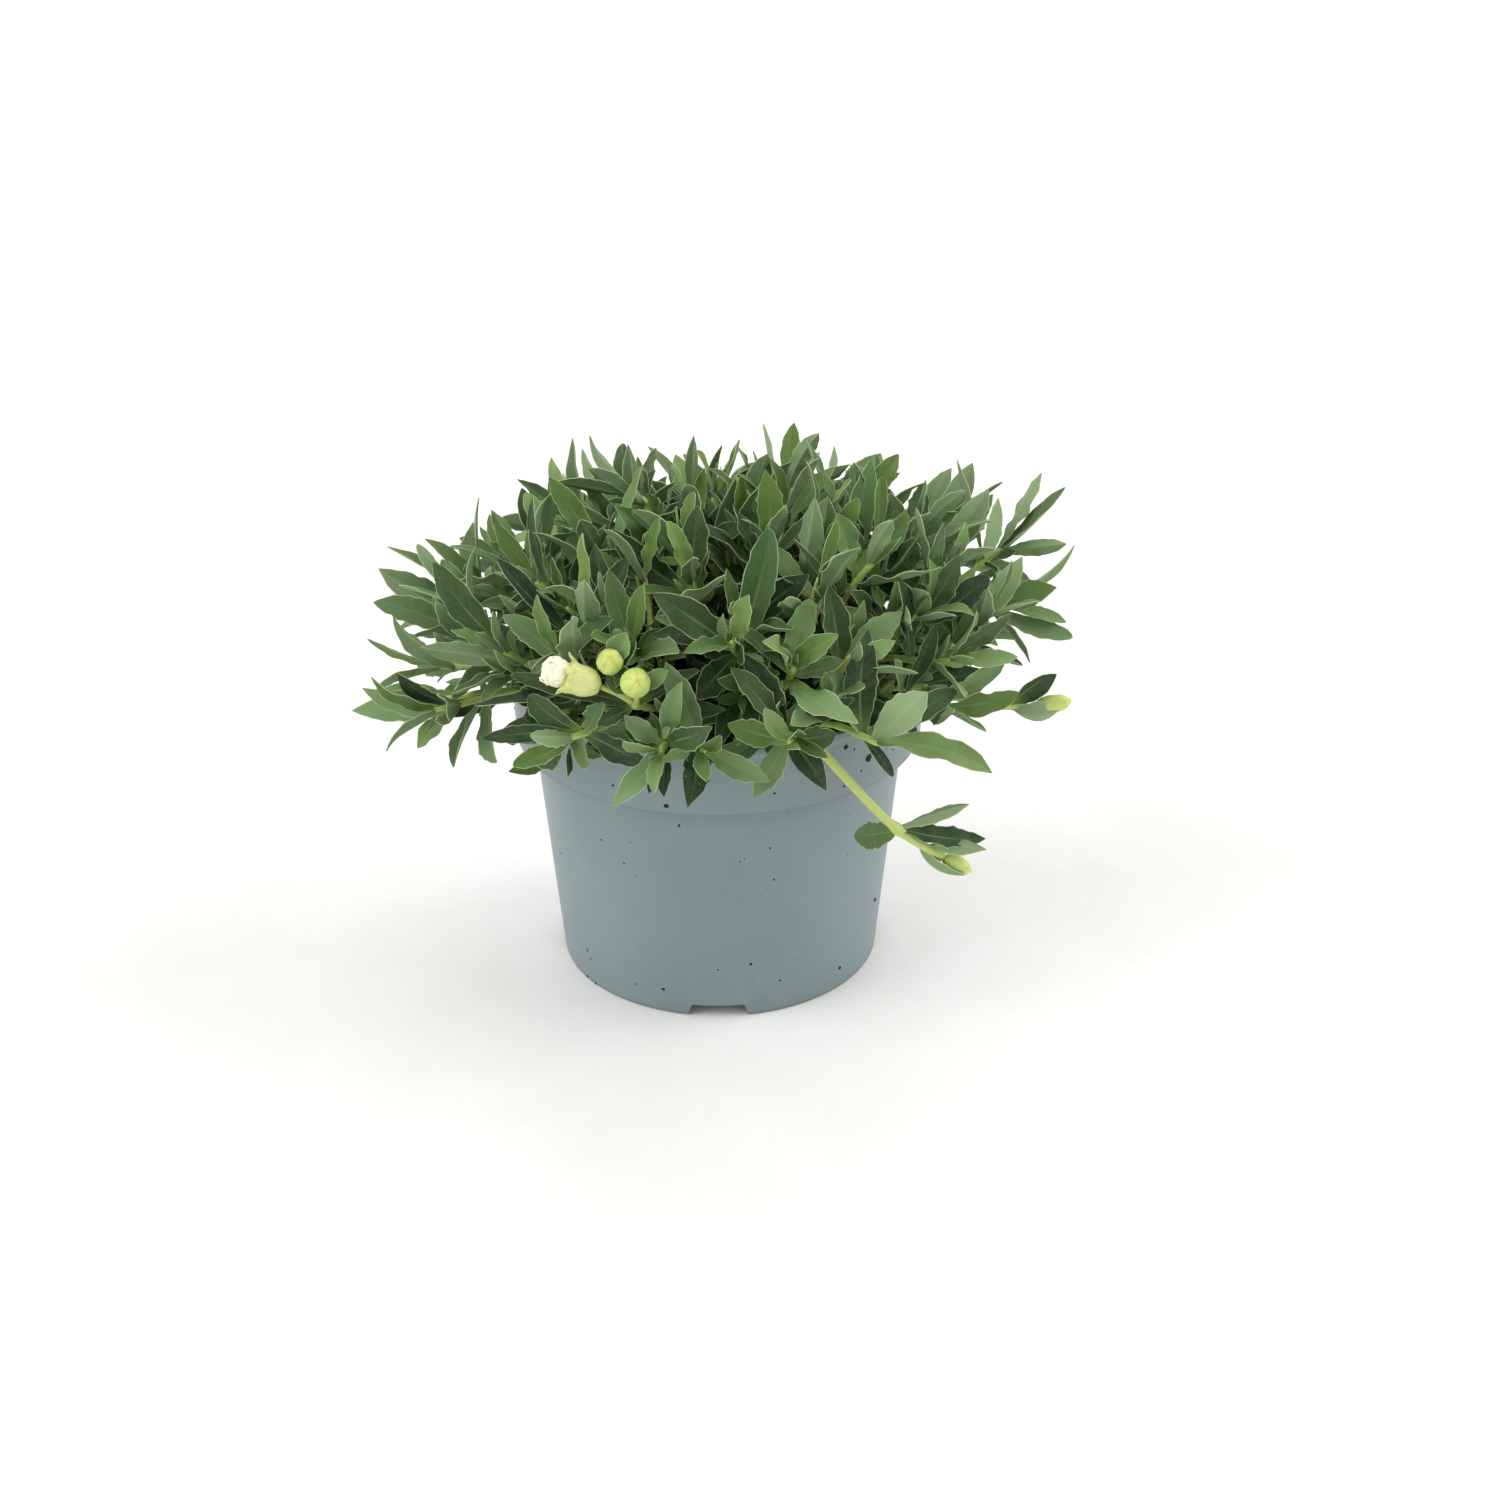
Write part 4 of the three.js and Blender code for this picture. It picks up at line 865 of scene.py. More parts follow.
def fits(leaf, margin):
    t = np.linspace(0.25, 1, 5)
    point, across, _ = leaf_frame(leaf, t)
    half = half_width(leaf, t)[:, None]
    points = np.concatenate([point, point + across * half, point - across * half])
    inside = np.all(points > BOX_LOW + margin) and np.all(points < BOX_HIGH - margin)
    return inside and not in_pot(points)


def blade_points(leaf, begin=0.3):
    """Points spread over the outer part of a leaf."""
    t = np.linspace(begin, 0.98, 14)
    point, across, upper = leaf_frame(leaf, t)
    s = np.array([-0.9, -0.45, 0, 0.45, 0.9])[None, :, None]
    out = across[:, None] * s * math.cos(leaf.fold)
    lift = upper[:, None] * np.abs(s) ** 1.25 * math.sin(leaf.fold)
    return (point[:, None] + (out + lift) * half_width(leaf, t)[:, None, None]).reshape(-1, 3)


class Room:
    """The cells of space that stems, buds and leaves already fill."""

    def __init__(self):
        self.low = BOX_LOW - 5
        self.full = np.zeros(np.ceil((BOX_HIGH - BOX_LOW + 10) / CELL).astype(int), bool)

    def cells(self, points):
        spots = ((points - self.low) / CELL).astype(int)
        return tuple(np.clip(spots, 0, np.array(self.full.shape) - 1).T)

    def fill(self, points):
        self.full[self.cells(points)] = True

    def fill_way(self, start, towards, length, radius):
        """Fills a rod from a point, so that nothing more grows in front of it."""
        direction = unit(np.array(towards, float))
        circle = around(*square_to(direction), np.linspace(0, TURN, 16))
        for along in np.arange(0, length, CELL * 0.7):
            for ring in np.arange(0, radius + 0.1, CELL * 0.7):
                self.fill(start + direction * along + circle * ring)

    def leaf(self, slot, margin):
        """The first try of a slot that finds room, or none."""
        for attempt in range(1, MORE_TRIES):
            leaf = leaf_for(slot, attempt)
            if not fits(leaf, margin):
                continue
            points = blade_points(leaf)
            if self.full[self.cells(points)].mean() <= CROWDED:
                self.fill(points)
                return leaf
        return None


def tip_slots(keys, curve, size):
    slots = []
    for pair, (distance, opened, length, width) in enumerate(TIP_PAIRS):
        slots += pair_slots(
            keys, 20 + pair, *curve.down(distance * size), crown_turn(keys) + (pair + 0.5) * math.pi / 2,
            opened, length * size, width * size, 0.02, -0.1,
        )
    return slots


def low_slots(keys, curve, size):
    """Older pairs down the stem, and small shoots in the forks of the leaves."""
    slots = []
    for pair, distance in enumerate([8, 16, *LOW_DISTANCE]):
        if distance * size > 0.86 * curve.length:
            break
        root, axis = curve.down(distance * size)
        angle = crown_turn(keys) + (pair + 1) * math.pi / 2
        if pair > 1:
            length = (30 - 2.2 * pair) * size
            opened = 66 + 3 * pair
            slots += pair_slots(keys, 30 + pair, root, axis, angle, opened, length, 0.3 * length, 0.25, 0.15)
        for side in range(2):
            if draw(*keys, pair, side, 90) < 0.55:
                continue
            outward = spun(unit(np.cross(axis, UP)), axis, angle + side * math.pi)
            shoot_axis = unit(axis + outward * 0.75)
            for step in range(2):
                slots += pair_slots(
                    (*keys, 40 + pair, side), step, root + shoot_axis * (1.5 + 3 * step), shoot_axis,
                    math.pi * (draw(*keys, pair, side, 91) + 0.5 * step),
                    42 - 18 * step, (12 - 3 * step) * size, (4.4 - step) * size,
                )
    return slots


def leaf_age(leaf):
    return AGE_OF_PAIR.get(leaf.pair, 0.05 if leaf.pair < 30 else 0.95)


def keep_leaves(stem, room):
    """Finds the leaves that the part has on each crown of a stem."""
    corners = node_points(stem.name)
    for crown in stem.crowns:
        leaves = [kept_leaf(slot, corners) for slot in slots_of(stem, crown)]
        crown.kept = [leaf for leaf in leaves if leaf]
        for leaf in crown.kept:
            room.fill(blade_points(leaf, 0.12))
        room.fill(crown.curve.spaced(60))


def leafy_piece(stem, room, materials):
    form = Form()
    for crown in stem.crowns:
        curve = crown.curve
        keys = stem.number, crown.number
        size = crown_size(keys)
        nodes = [1 - distance * size / curve.length for distance in PAIR_DISTANCE[1:]]
        add_stem(form, curve, crown.radius, keys, nodes)
        for leaf in crown.kept:
            add_blade(form, leaf, FINE, leaf_age(leaf))
        end = curve.point_at(1)
        more = tip_slots(keys, curve, size)
        if end[1] < FRONT_RIM[0] and end[2] < FRONT_RIM[1]:
            more = more[:2]
        elif crown.number == 0 or curve.length > 30:
            more += low_slots(keys, curve, size)
        for slot in more:
            leaf = room.leaf(slot, 1.5)
            if leaf:
                add_more_leaf(form, leaf, leaf_age(leaf))
    finish_piece(form.piece(f"leaves_of_{stem.name}", materials), "foliage", stem.name)


def cupped(leaf, axis):
    number, _, _, order = leaf.keys
    if (number, order) not in CUPS:
        return leaf
    back, start, end, normal, length, width, fold, hook = CUPS[number, order]
    return leaf.but(
        root=leaf.root - axis * back, start=heading(*start), end=heading(*end), normal=np.array(normal),
        length=length, width=width, fold=fold, hook=hook, twist=0, calm=0.2,
    )


def path_piece(stem, room, materials):
    form = Form()
    corners = node_points(stem.name)
    curve = stem.curve
    places = [leaf[0] / (len(stem.path) - 1) for leaf in stem.leaves]
    nodes = [np.interp(place, curve.knots, curve.lengths) / curve.length for place in places]
    add_stem(form, curve, stem.radius * 1.06, (stem.number, 0), nodes)
    room.fill(curve.spaced(60))
    for order, branch in enumerate(stem.branches):
        add_stem(form, branch, stem.radius * 0.85, (stem.number, 5 + order))
        room.fill(branch.spaced(20))
    for slot in path_slots(stem):
        leaf = kept_leaf(slot, corners)
        if leaf:
            add_blade(form, cupped(leaf, slot.axis), FINE, 0.6)
            room.fill(blade_points(leaf, 0.12))
    finish_piece(form.piece(f"shoot_of_{stem.name}", materials), "foliage", stem.name)


def inner_shoots(places, room, materials):
    """Shoots that fill the dome between the stems, ending a little under its surface."""
    forms = [Form() for _ in range(INNER_GROUPS)]
    for order, place in enumerate(places):
        number = 400 + order
        keys = number, 0
        crown = place + (np.array([0, 0, STEM_FOCUS]) - place) * (0.04 + 0.1 * draw(number, 1))
        curve = stem_curve(crown, crown_aim(crown, number), number, 1)
        size = 0.86 + 0.2 * draw(number, 2)
        form = forms[int((math.atan2(place[1], place[0]) / TURN) % 1 * INNER_GROUPS)]
        add_stem(form, curve, 1.05, keys)
        slots = crown_slots(keys, curve, size, 0.85, 0.9)
        for slot in slots + tip_slots(keys, curve, size) + low_slots(keys, curve, size):
            leaf = room.leaf(slot, 3)
            if leaf:
                # Counted older, so that these inner leaves are painted darker, as shade inside the dome.
                add_more_leaf(form, leaf, leaf_age(leaf) * 0.8 + 0.2)
    for order, form in enumerate(forms):
        finish_piece(form.piece(f"inner_shoots_{order + 1}", materials), "foliage")


# Buds, calyx, petals and bracts: bodies whose pattern runs from a base to the point they face
BODY_ROWS = 34
BODY_COLUMNS = 80
VEINS = 20


def smooth(value, low, high):
    share = np.clip((value - low) / (high - low), 0, 1)
    return share * share * (3 - 2 * share)


def turned_body(bud):
    """Turns, heights and directions of a grid round the pole, and a way from swelling to corners."""
    low = np.linspace(math.pi, 0, BODY_ROWS)[:, None]
    low, turn = np.broadcast_arrays(low, np.arange(BODY_COLUMNS) * TURN / BODY_COLUMNS)
    ring = around(*square_to(bud.pole), turn)
    direction = np.cos(low)[..., None] * bud.pole + np.sin(low)[..., None] * ring

    def corners(swelling):
        along = (direction @ bud.axis)[..., None]
        body = direction * bud.radius + (bud.length / 2 - bud.radius) * along * bud.axis
        return bud.centre + body * swelling[..., None]

    return turn, (1 + np.cos(low)) / 2, direction, corners


def rumple(direction, scale, *key):
    shift = 10 * draw(*key, 92)
    values = [noise.noise(Vector(d * scale + shift)) for d in direction.reshape(-1, 3)]
    return np.array(values).reshape(direction.shape[:-1])


def add_body(form, corners, marks):
    """A closed body from a grid of corners, each of whose end rows is one place."""
    def closed(grid):
        middle = grid[1:-1].reshape(-1, grid.shape[-1])
        return np.concatenate([middle, grid[:1].mean(axis=1), grid[-1:].mean(axis=1)])

    form.add(closed(corners), *ring_faces(BODY_ROWS - 2, BODY_COLUMNS), closed(marks), 0.5)


def add_calyx(form, bud, opened, key):
    turn, height, direction, corners = turned_body(bud)
    seam = np.abs(np.cos(2.5 * (turn + 0.5 * height))) ** 6
    vein = np.cos(VEINS * turn + 1.2 * rumple(direction, 2.2, key))
    swelling = 1 + 0.012 * vein + 0.06 * rumple(direction, 1.7, key) + 0.025 * rumple(direction, 4.5, key)
    near_tip = np.clip((height - 0.55) / 0.45, 0, 1)
    if opened:
        swelling = swelling + 0.1 * np.clip((height - 0.4) / 0.4, 0, 1)
    else:
        swelling = swelling - 0.045 * seam * near_tip - 0.05 * near_tip**6
        swelling = swelling + 0.10 * np.clip((height - 0.95) / 0.05, 0, 1)
    pale = np.full_like(height, 1.0 if opened else 0.25 * draw(key, 87))
    marks = np.stack([(vein > 0.9) * 1.0, height, pale, seam], axis=-1)
    places = corners(swelling)
    if opened:
        away = places - bud.centre
        forward = (away @ bud.pole)[..., None]
        wide = 1.04 + 0.4 * smooth(height, 0.6, 0.9)[..., None]
        ahead = forward + 1.3 * smooth(height, 0.35, 0.8)[..., None]
        places = bud.centre + (away - forward * bud.pole) * wide + ahead * bud.pole
    add_body(form, places, marks)


def add_teeth(form, bud, key):
    """Five short points round the mouth of the open calyx, lying on the petals."""
    for order in range(5):
        outward = around(*square_to(bud.axis), math.radians(72 * order + 80))
        root = bud.centre + bud.axis * 4.0 + outward * 4.2
        slot = plain_slot((key, 50 + order), 1, root, bud.axis, outward, 30, 3.6, 2.6, 0)
        tooth = leaf_for(slot).but(fold=0.2, twist=0)
        add_blade(form, tooth, SMALL, 0.5, told_marks={0: 0, 1: 0.6, 2: 1, 3: 0})


def bud_piece(name, bud, key, materials):
    form = Form()
    opened = name == "flower_calyx"
    add_calyx(form, bud, opened, key)
    if opened:
        add_teeth(form, bud, key)
    base = bud.centre - bud.axis * (bud.length / 2 + 0.2)
    for order, (turn, opening, bend, length, width, fold) in enumerate(bud.bracts):
        outward = around(*square_to(bud.axis), math.radians(turn))
        slot = plain_slot((key, order), 1, base, bud.axis, outward, opening, length, width, 0, bend)
        slot.start = around(bud.axis, outward, math.radians(opening))
        bract = leaf_for(slot).but(fold=fold, twist=0.1, calm=0.5, hook=0.3)
        add_blade(form, bract, FINE, 0.4, 1)
    finish_piece(form.piece(f"fine_{name}", materials), "calyx", name)


def petal_piece(material):
    """Cream petals still crumpled together, each one lapping over the next."""
    form = Form()
    turn, height, direction, corners = turned_body(PETALS)
    turns = (turn / TURN * 5 + 1.4 * height) % 5
    step = turns % 1
    swelling = 0.97 + 0.12 * rumple(direction, 1.5, 640) + 0.07 * rumple(direction, 3.6, 641)
    swelling = swelling + 0.05 * (1 - step) ** 2 - 0.05 * step**8
    ridges = 1 - np.abs(rumple(direction, 2.6, 642)) * 4
    swelling = swelling + 0.05 * np.clip(ridges, 0, 1)
    marks = np.stack([step, height, np.floor(turns) / 5, np.zeros_like(step)], axis=-1)
    add_body(form, corners(swelling), marks)
    axis = PETALS.axis
    for order in range(7):
        outward = around(*square_to(axis), TURN * (order / 7 + 0.05 * draw(643, order)))
        root = PETALS.centre + axis * (0.2 + 1.2 * draw(644, order)) + outward * 2.6
        slot = plain_slot((645, order), 1, root, axis, outward, 40, 3.4, 4.4, 0, -0.9)
        slot.start = unit(axis + outward * 0.7)
        add_blade(form, leaf_for(slot).but(fold=-0.3), PLAIN, 0.5, loose=2.5, told_marks={3: 0})
    finish_piece(form.piece("rolled_petals", [material]), "petals", "furled_petals")


# Soil, and specks of it on the pot: at the front by place around, height and size, and how many in all
SOIL_PROFILE = [[0, 91], [22, 90.6], [37, 90], [50, 89.4], [61.8, 88.4]]
SOIL_ROWS = 60
SOIL_COLUMNS = 180
CRUMBS = 1500
CRUMB_CORNERS = unit(np.array([
    [0, 1, 1.618], [0, -1, 1.618], [0, 1, -1.618], [0, -1, -1.618],
    [1, 1.618, 0], [-1, 1.618, 0], [1, -1.618, 0], [-1, -1.618, 0],
    [1.618, 0, 1], [1.618, 0, -1], [-1.618, 0, 1], [-1.618, 0, -1],
]))
CRUMB_EDGE = 1.1
TOLD_SPECKS = [
    (306, 92.8, 0.95), (309, 91.3, 0.5), (314.5, 86.2, 1.15), (291.7, 90.3, 0.35), (306, 80, 0.4),
    (300, 84, 0.3), (242, 82.8, 0.35), (257, 79.0, 0.75), (259, 69.7, 0.5), (232, 58.5, 0.35),
    (243, 60.9, 0.35), (240, 52.7, 0.32), (244, 49.0, 0.32), (276, 88.1, 0.28), (292, 90.4, 0.35),
    (215, 1.1, 0.55), (220, 0.7, 0.35), (251, 8.7, 0.5), (281, 19.5, 0.35), (270, 18.0, 0.35),
    (206, 42.9, 0.3), (277, 57.4, 0.25),
]
SPECKS = 110


def outward_hull(corners):
    """Triangles of the twenty-sided body whose corners are given, facing outwards."""
    triangles = []
    for i, j, k in itertools.combinations(range(12), 3):
        a, b, c = corners[[i, j, k]]
        if max(np.linalg.norm(side) for side in (a - b, b - c, c - a)) < CRUMB_EDGE:
            triangles.append((i, j, k) if np.dot(np.cross(b - a, c - a), a) > 0 else (i, k, j))
    return np.array(triangles)


CRUMB_FACES = outward_hull(CRUMB_CORNERS)


def add_crumb(form, order, channel, centre, stretch, size, turn, dent, shade):
    """A lump of soil, dented by its draws, stretched and turned about Z."""
    dents = np.array([1 - dent + 2 * dent * draw(order, k, channel) for k in range(12)])[:, None]
    marks = np.zeros((12, 4))
    marks[:, 2] = shade
    lump = spun(CRUMB_CORNERS * dents * stretch * size, UP, turn)
    form.add(centre + lump, np.zeros((0, 4), int), CRUMB_FACES, marks, 1.0)


def soil_height(x, y):
    r = math.hypot(x, y)
    rough = noise.fractal(Vector((x * 0.16, y * 0.16, 3.1)), 0.8, 2.1, 4)
    return float(np.interp(r, *np.array(SOIL_PROFILE).T)) + 1.1 * rough * min(1, (62.5 - r) / 4)


def soil_piece(material):
    form = Form()
    inside = COLLAR_RADIUS - WALL - SOIL_GAP
    low = FLOOR_TOP + SOIL_GAP
    wall = [
        (inside, COLLAR_LOW + 1.9), (BODY_RADIUS_TOP - WALL - SOIL_GAP, COLLAR_LOW + 0.8 + SOIL_GAP),
        (body_radius(FLOOR_TOP) - WALL - SOIL_GAP, low), (0.5, low),
    ]
    corners = []
    for row, radius in enumerate([*np.linspace(0.5, inside, SOIL_ROWS), *(r for r, _ in wall)]):
        for a in np.arange(SOIL_COLUMNS) * TURN / SOIL_COLUMNS:
            x, y = radius * math.cos(a), radius * math.sin(a)
            corners.append((x, y, soil_height(x, y) if row < SOIL_ROWS else wall[row - SOIL_ROWS][1]))
    corners += [(0, 0, soil_height(0, 0)), (0, 0, low)]
    quads, caps = ring_faces(SOIL_ROWS + len(wall), SOIL_COLUMNS)
    form.add(np.array(corners), quads[:, ::-1], caps[:, ::-1], np.zeros((len(corners), 4)), 0.0)
    for i in range(CRUMBS):
        r = (inside - 2) * math.sqrt(draw(i, 500))
        a = TURN * draw(i, 501)
        x, y = r * math.cos(a), r * math.sin(a)
        size = 0.45 + 1.5 * draw(i, 502) ** 3
        centre = np.array([x, y, soil_height(x, y) + 0.25 * size])
        stretch = np.array([1 + 0.8 * draw(i, 503), 0.8 + 0.4 * draw(i, 504), 0.6 + 0.3 * draw(i, 505)])
        add_crumb(form, i, 506, centre, stretch, size, 6.3 * draw(i, 507), 0.2, draw(i, 508))
    finish_piece(form.piece("soil_with_crumbs", [material], smooth=False), "soil", "soil")


def speck_piece(material):
    """Crumbs of soil that stick to the outside of the pot."""
    form = Form()
    for i in range(SPECKS):
        turn = TURN * draw(i, 520)
        size = 0.18 + 0.7 * draw(i, 523) ** 4
        z = 6 + (COLLAR_LOW - 12) * draw(i, 522)
        if draw(i, 521) < 0.6:
            z = COLLAR_LOW + 2 + (POT_HEIGHT - COLLAR_LOW - 7) * draw(i, 522)
        if i < len(TOLD_SPECKS):
            degrees, z, size = TOLD_SPECKS[i]
            turn = math.radians(degrees)
        radius = body_radius(z)
        if z > COLLAR_LOW:
            radius = COLLAR_RADIUS + 0.5 * (z - COLLAR_LOW) / (POT_HEIGHT - COLLAR_LOW)
        centre = np.array([radius * math.cos(turn), radius * math.sin(turn), z])
        stretch = np.array([0.5, 0.8 + 0.5 * draw(i, 524), 0.7 + 0.9 * draw(i, 525)])
        add_crumb(form, i, 526, centre, stretch, size, turn, 0.25, 0.3 * draw(i, 527))
    finish_piece(form.piece("soil_specks", [material], smooth=False), "soil")


# Pot
def body_radius(z):
    return BASE_RADIUS + (BODY_RADIUS_TOP - BASE_RADIUS) * z / COLLAR_LOW


def pot_profile():
    """Radius and height round the pot's section, from the axis under its floor to the axis above it."""
    foot = [(-1.8, 0), (-0.7, 0), (-0.2, 0.25), (0, 0.8)]
    collar = [(-1.6, -0.1), (-0.5, 0.3), (0, 1.2)]
    lip = [(-0.4, -2.9), (0, -2.1), (0, -1), (-0.3, -0.3), (-1, 0), (-1.8, -0.2)]
    inside = COLLAR_RADIUS - WALL
    return [
        (0, FOOT_HEIGHT),
        (body_radius(FOOT_HEIGHT) - 1.8, FOOT_HEIGHT),
        *((BASE_RADIUS + r, z) for r, z in foot),
        (body_radius(COLLAR_LOW / 2), COLLAR_LOW / 2),
        (BODY_RADIUS_TOP - 0.1, COLLAR_LOW - 2),
        (BODY_RADIUS_TOP + 0.5, COLLAR_LOW - 0.7),
        *((COLLAR_RADIUS + r, COLLAR_LOW + z) for r, z in collar),
        (COLLAR_RADIUS + 0.55, POT_HEIGHT - 3.8),
        *((RIM_RADIUS + r, POT_HEIGHT + z) for r, z in lip),
        (inside + 0.5, POT_HEIGHT - 1.2),
        (inside, COLLAR_LOW + 2.6),
        (inside - 0.8, COLLAR_LOW + 1.2),
        (BODY_RADIUS_TOP - WALL, COLLAR_LOW + 0.6),
        (body_radius(FLOOR_TOP) - WALL, FLOOR_TOP),
        (0, FLOOR_TOP),
    ]


def mesh_object(name, corners, faces):
    mesh = bpy.data.meshes.new(name)
    mesh.from_pydata((np.array(corners, float) * MM).tolist(), [], faces)
    return new_object(name, mesh)


def lathe(name, profile, sides):
    """Body of revolution about Z of a profile that begins and ends on the axis."""
    angles = [TURN * k / sides for k in range(sides)]
    corners = [(r * math.cos(a), r * math.sin(a), z) for r, z in profile[1:-1] for a in angles]
    corners += [(0, 0, profile[0][1]), (0, 0, profile[-1][1])]
    quads, caps = ring_faces(len(profile) - 2, sides)
    return mesh_object(name, corners, quads.tolist() + caps.tolist())


def notch_cutter(turn):
    section = [
        (-NOTCH_BOTTOM / 2, -1), (NOTCH_BOTTOM / 2, -1), (NOTCH_BOTTOM / 2, 0),
        (NOTCH_TOP / 2, FOOT_HEIGHT), (-NOTCH_TOP / 2, FOOT_HEIGHT), (-NOTCH_BOTTOM / 2, 0),
    ]
    corners = [(x, y, z) for y in (-BASE_RADIUS - 6, -BASE_RADIUS + 8) for x, z in section]
    count = len(section)
    faces = [tuple(range(count)), tuple(range(2 * count - 1, count - 1, -1))]
    faces += [(k, k + count, (k + 1) % count + count, (k + 1) % count) for k in range(count)]
    cutter = mesh_object("cutter", corners, faces)
    cutter.rotation_euler.z = turn
    return cutter


def hole_cutter(turn):
    low, high = FOOT_HEIGHT - 2.4, FOOT_HEIGHT + 3.6
    cutter = lathe("cutter", [(0, low), (DRAIN_RADIUS, low), (DRAIN_RADIUS, high), (0, high)], 32)
    cutter.location = (DRAIN_RING * MM * math.cos(turn), DRAIN_RING * MM * math.sin(turn), 0)
    return cutter


def cut(piece, cutters):
    """Cuts each cutter out of a piece, for good, and removes the cutters."""
    for cutter in cutters:
        modifier = piece.modifiers.new("cut", "BOOLEAN")
        modifier.object = cutter
        modifier.solver = "EXACT"
    bpy.context.view_layer.update()
    shaped = piece.evaluated_get(bpy.context.evaluated_depsgraph_get())
    mesh = bpy.data.meshes.new_from_object(shaped)
    piece.modifiers.clear()
    piece.data = mesh
    for cutter in cutters:
        bpy.data.objects.remove(cutter)


def pot_piece(material):
    pot = lathe("nursery_pot", pot_profile(), POT_SIDES)
    quarter = TURN / NOTCHES
    cutters = [notch_cutter(k * quarter) for k in range(NOTCHES)]
    cut(pot, cutters + [hole_cutter((k + 0.5) * quarter) for k in range(DRAIN_HOLES)])
    pot.data.polygons.foreach_set("use_smooth", [True] * len(pot.data.polygons))
    pot.data.set_sharp_from_angle(angle=math.radians(38))
    pot.data.materials.clear()
    pot.data.materials.append(material)
    finish_piece(pot, "pot", "pot")


# Materials
class Shader:
    """A node material that is painted coat by coat, ending in its Principled shader."""

    def __init__(self, name, constants):
        self.material = bpy.data.materials.new(name)
        self.material.use_nodes = True
        self.tree = self.material.node_tree
        self.surface = self.tree.nodes["Principled BSDF"]
        self.fill(self.surface, constants)
        self.place = self.node("TexCoord", {}).outputs["Object"]

    def fill(self, node, values):
        """Gives the sockets of a node constants, or links to them, by name or number."""
        for socket, value in values.items():
            if hasattr(value, "links"):
                self.tree.links.new(value, node.inputs[socket])
            else:
                node.inputs[socket].default_value = value

    def node(self, kind, values, **settings):
        made = self.tree.nodes.new(f"ShaderNode{kind}")
        for key, value in settings.items():
            setattr(made, key, value)
        self.fill(made, values)
        return made

    def math(self, operation, a, b=0.0):
        return self.node("Math", {0: a, 1: b}, operation=operation).outputs[0]

    def times(self, a, b):
        return self.math("MULTIPLY", a, b)

    def off(self, value, middle):
        return self.math("ABSOLUTE", self.math("SUBTRACT", value, middle))

    def span(self, value, low, high, to_low=0.0, to_high=1.0):
        values = {"Value": value, "From Min": low, "From Max": high, "To Min": to_low, "To Max": to_high}
        return self.node("MapRange", values, interpolation_type="SMOOTHSTEP").outputs["Result"]

    def mix(self, share, *colours):
        first, second = (colour if hasattr(colour, "links") else (*colour, 1) for colour in colours)
        return self.node("Mix", {0: share, 6: first, 7: second}, data_type="RGBA").outputs[2]

    def coat(self, share, colour):
        self.colour = self.mix(share, self.colour, colour)

    def noise(self, scale, detail=3.0, rough=0.55):
        values = {"Vector": self.place, "Scale": scale, "Detail": detail, "Roughness": rough}
        return self.node("TexNoise", values).outputs["Fac"]

    def specks(self, scale, rare, size):
        """One where a speck lies; a share of scattered points, past rare, has one of up to that size."""
        points = self.node("TexVoronoi", {"Vector": self.place, "Scale": scale})
        chance = self.apart("Color", points.outputs["Color"])[0]
        return self.math("LESS_THAN", points.outputs["Distance"], self.span(chance, rare, 1.0, 0.0, size))

    def apart(self, kind, value):
        return self.node(f"Separate{kind}", {0: value}).outputs

    def outer(self):
        """How far out a place lies from the middle of the plant, from 0 to 1."""
        level = self.node("VectorMath", {0: self.place, 1: (1, 1, 0)}, operation="MULTIPLY")
        length = self.node("VectorMath", {0: level.outputs["Vector"]}, operation="LENGTH")
        return self.span(length.outputs["Value"], 0.045, 0.100)

    def marks(self):
        made = self.node("Attribute", {}, attribute_name="marks")
        return *list(self.apart("Color", made.outputs["Color"]))[:3], made.outputs["Alpha"]

    def age(self):
        return self.node("Attribute", {}, attribute_name="age").outputs["Fac"]

    def finish(self, height, distance, strength):
        """Bumps the surface by a height, puts the colour on and gives the material."""
        bump = self.node("Bump", {"Strength": strength, "Distance": distance, "Height": height})
        self.fill(self.surface, {"Normal": bump.outputs["Normal"], "Base Color": self.colour})
        return self.material


